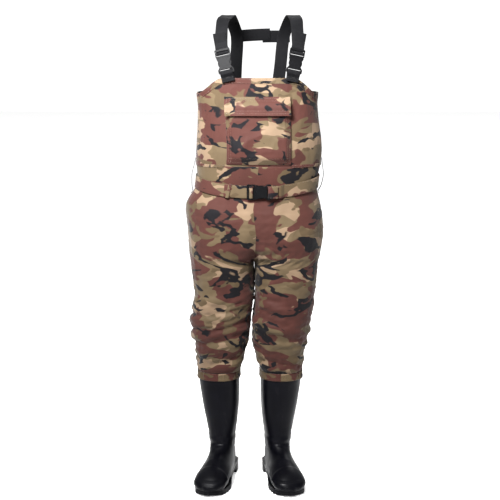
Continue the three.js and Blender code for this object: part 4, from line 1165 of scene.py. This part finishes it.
def build_boots():
    for name in SIDES:
        build_upper(name)
        moulded(f"{name}_boot_outsole", f"{name}_sole_rubber", TREAD, "boot_rubber", width=0.7 * MM)
        felted = {"width": 0.5 * MM, "divide": 1, "push": fuzz}
        moulded(f"{name}_boot_insole", f"{name}_insole_felt", FELT, "lining_felt", **felted)
        build_welt(name)
        build_cuff(name)


def build_welt(name):
    """The moulded strip that joins an upper to its outsole all the way round."""
    sole, upper = tree_of(f"{name}_boot_outsole"), tree_of(f"{name}_boot_upper")
    middle = plan_middle(f"{name}_boot_outsole")
    tops = []
    for turn in TURNS:
        away = np.array([math.sin(turn), -math.cos(turn), 0])
        height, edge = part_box(f"{name}_boot_outsole")[1].z, None
        while edge is None or (edge - middle) @ away < 20 * MM:
            height -= 0.5 * MM
            edge = seen_from_outside(sole, middle + (0, 0, height), turn)
        tops.append(height)
    tops = sum(np.roll(tops, shift) for shift in range(-4, 5)) / 9
    rows = []
    for turn, top in zip(TURNS, tops):
        edge = seen_from_outside(sole, middle + (0, 0, top - 1.6 * MM), turn)
        above = seen_from_outside(upper, middle + (0, 0, top + 10 * MM), turn)
        out = unit((edge - middle) * (1, 1, 0))
        low, high = (edge - middle) @ out, (above - middle) @ out
        strip = [(low - 1.5 * MM, -2.4), (low + 0.8 * MM, -1.8), (low + 1.6 * MM, 0.4),
                 (max(low + 1.2 * MM, high + 3.0 * MM), 3.0), (max(low, high) + 2.4 * MM, 6.0),
                 (high + 4.0 * MM, 9.4), (high + 3.4 * MM, 11.8), (high + 0.4 * MM, 13.0)]
        rows.append([middle + out * far + (0, 0, top + rise * MM) for far, rise in strip])
    grid = np.array(rows).swapaxes(0, 1)
    grid = sum(np.roll(grid, shift, axis=1) for shift in (-1, 0, 1)) / 3
    grid = finer_grid(grid, 1, 2, loop=True)
    uv = np.stack(np.broadcast_arrays(np.linspace(0, 0.8, grid.shape[1])[None, :], grid[..., 2]), axis=-1)
    piece = surface(f"{name}_welt_rubber", grid, uv, RUBBER, loop=True)
    face_along(piece, 4 * grid.shape[1] + 5, grid[4, 5] - middle)
    keep(thickened(piece, 1.0 * MM), "boot_rubber")


def build_cuff(name):
    """The gathered cloth band over a boot's top edge."""
    node = f"{name}_boot_cuff"
    tree = tree_of(node)
    low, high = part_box(node)
    heights = [plan_middle(node) + (0, 0, z) for z in np.linspace(low.z + 0.2 * MM, high.z - 0.2 * MM, 14)]
    grid = np.array([[seen_from_outside(tree, axis, turn) for turn in TURNS] for axis in heights])
    out = unit((grid - grid.mean(1, keepdims=True)) * (1, 1, 0))
    up = np.linspace(0, 1, len(grid))[:, None]
    turn = TURNS[None, :]
    pleats = np.sin(46 * turn + 2.4 * np.sin(5 * turn) + 1.3 * up) * (0.6 + 0.4 * np.sin(7 * turn + 1))
    roll = np.exp(-(((up - 0.12) / 0.14) ** 2)) * 1.4
    grid = grid + out * ((pleats * smooth(up, 0.1, 0.5) + 0.5 + roll) * MM)[..., None]
    radius = 66 * MM  # about, for the print's size
    uv = np.stack(np.broadcast_arrays(turn * radius, grid[..., 2] + 4.4), axis=-1)
    piece = surface(f"{name}_cuff_cloth", grid, uv, CAMO, LINING, loop=True)
    face_along(piece, 2 * len(TURNS) + 2, out[2, 2])
    keep(thickened(piece, CLOTH, 1), "camouflage_cloth", node)


# ---- Linings, stage, light and camera ----


def build_linings():
    def gathered(point):
        pleats = math.sin(math.atan2(point[1], point[0]) * 190)
        return 0.5 * MM * pleats + 0.2 * MM * noise.noise(Vector(point) * 300)

    facing = ("bib_front_facing", "front_facing_cloth", CAMO, "camouflage_cloth")
    box_uv(moulded(*facing, width=0, divide=2, push=fuzz))
    elastic = ("back_top_elastic", "back_elastic_band", WEBBING, "black_webbing")
    box_uv(moulded(*elastic, width=0, divide=3, push=gathered))


def build_stage():
    paper = Shader("pale_floor")
    where = paper.add("ShaderNodeTexCoord").outputs["Object"]
    mottle = paper.step(paper.noise(where, 3, 2), 0.3, 0.4)
    tone = paper.mix(mottle, linear(252, 252, 252), linear(254, 254, 254))
    material = paper.finish(Base_Color=tone, Roughness=0.8)
    paper.finish(Emission_Color=(1, 1, 1, 1), Emission_Strength=0.34)
    far = 14.0  # half the floor's width
    corners = [(-far, -far, 0), (far, -far, 0), (far, far, 0), (-far, far, 0)]
    floor = new_object("floor", corners, [(0, 1, 2, 3)], material)
    world = bpy.data.worlds.new("studio")
    world.use_nodes = True
    nodes, links = world.node_tree.nodes, world.node_tree.links
    height = nodes.new("ShaderNodeSeparateXYZ")
    links.new(nodes.new("ShaderNodeTexCoord").outputs["Generated"], height.inputs[0])
    fade = nodes.new("ShaderNodeMapRange")
    links.new(height.outputs["Z"], fade.inputs["Value"])
    for key, value in {"From Min": 0.12, "From Max": 0.4, "To Min": 0.95, "To Max": 0.25}.items():
        fade.inputs[key].default_value = value
    links.new(fade.outputs[0], nodes["Background"].inputs["Strength"])
    nodes["Background"].inputs["Color"].default_value = (1, 1, 1, 1)
    bpy.context.scene.world = world


def add_light(name, place, target, size, power, spread=180):
    data = bpy.data.lights.new(name, "AREA")
    data.size = size
    data.spread = math.radians(spread)
    data.energy = power
    lamp = bpy.data.objects.new(name, data)
    lamp.location = place
    lamp.rotation_euler = (Vector(target) - Vector(place)).to_track_quat("-Z", "Y").to_euler()
    lamp.visible_camera = False
    bpy.context.scene.collection.objects.link(lamp)


def add_camera():
    data = bpy.data.cameras.new("camera")
    data.lens = 94.13
    data.sensor_width = 36
    data.clip_end = 60
    camera = bpy.data.objects.new("camera", data)
    camera.location = (4.8 * MM, -3964.6 * MM, 1500 * MM)
    camera.rotation_euler = (math.radians(90 - 10.83), 0, math.radians(0.285))
    bpy.context.scene.collection.objects.link(camera)
    bpy.context.scene.camera = camera


def build_all():
    stitches, black_stitches = Stitching(), Stitching()
    for node in ("chest_pocket_pouch", "chest_pocket_flap", "left_buckle_tab", "right_buckle_tab"):
        cover(node, 3 * MM)
    for node in ("left_shoulder_strap", "right_shoulder_strap", "back_belt_loop"):
        low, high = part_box(node)
        COVERED.append((low.x - 4 * MM, high.x + 4 * MM, low.z - 6 * MM, high.z, False))
    grids = build_legs()
    build_leg_seams(grids, stitches)
    build_waist_seam(build_bib(stitches), stitches)
    build_pocket(stitches)
    build_flap()
    build_webbing(black_stitches)
    build_belt(stitches)
    build_buckles()
    build_boots()
    build_linings()
    stitches.build("tan_stitches", TAN_THREAD, "camouflage_cloth")
    black_stitches.build("black_stitches", BLACK_THREAD, "black_webbing")
    build_stage()
    add_light("overhead", (0, 6, 6), (0, 6, 0), 16.0, 380)
    add_light("key", (-0.6, -1.45, 2.3), (0, 0, 1.3), 0.8, 32, 70)
    add_light("rim", (0.8, 2.6, 2.8), (0, 0, 1.0), 1.6, 24)
    add_camera()
    bpy.context.scene.view_settings.view_transform = "Standard"
    bpy.context.scene.view_settings.look = "Medium High Contrast"


build_all()
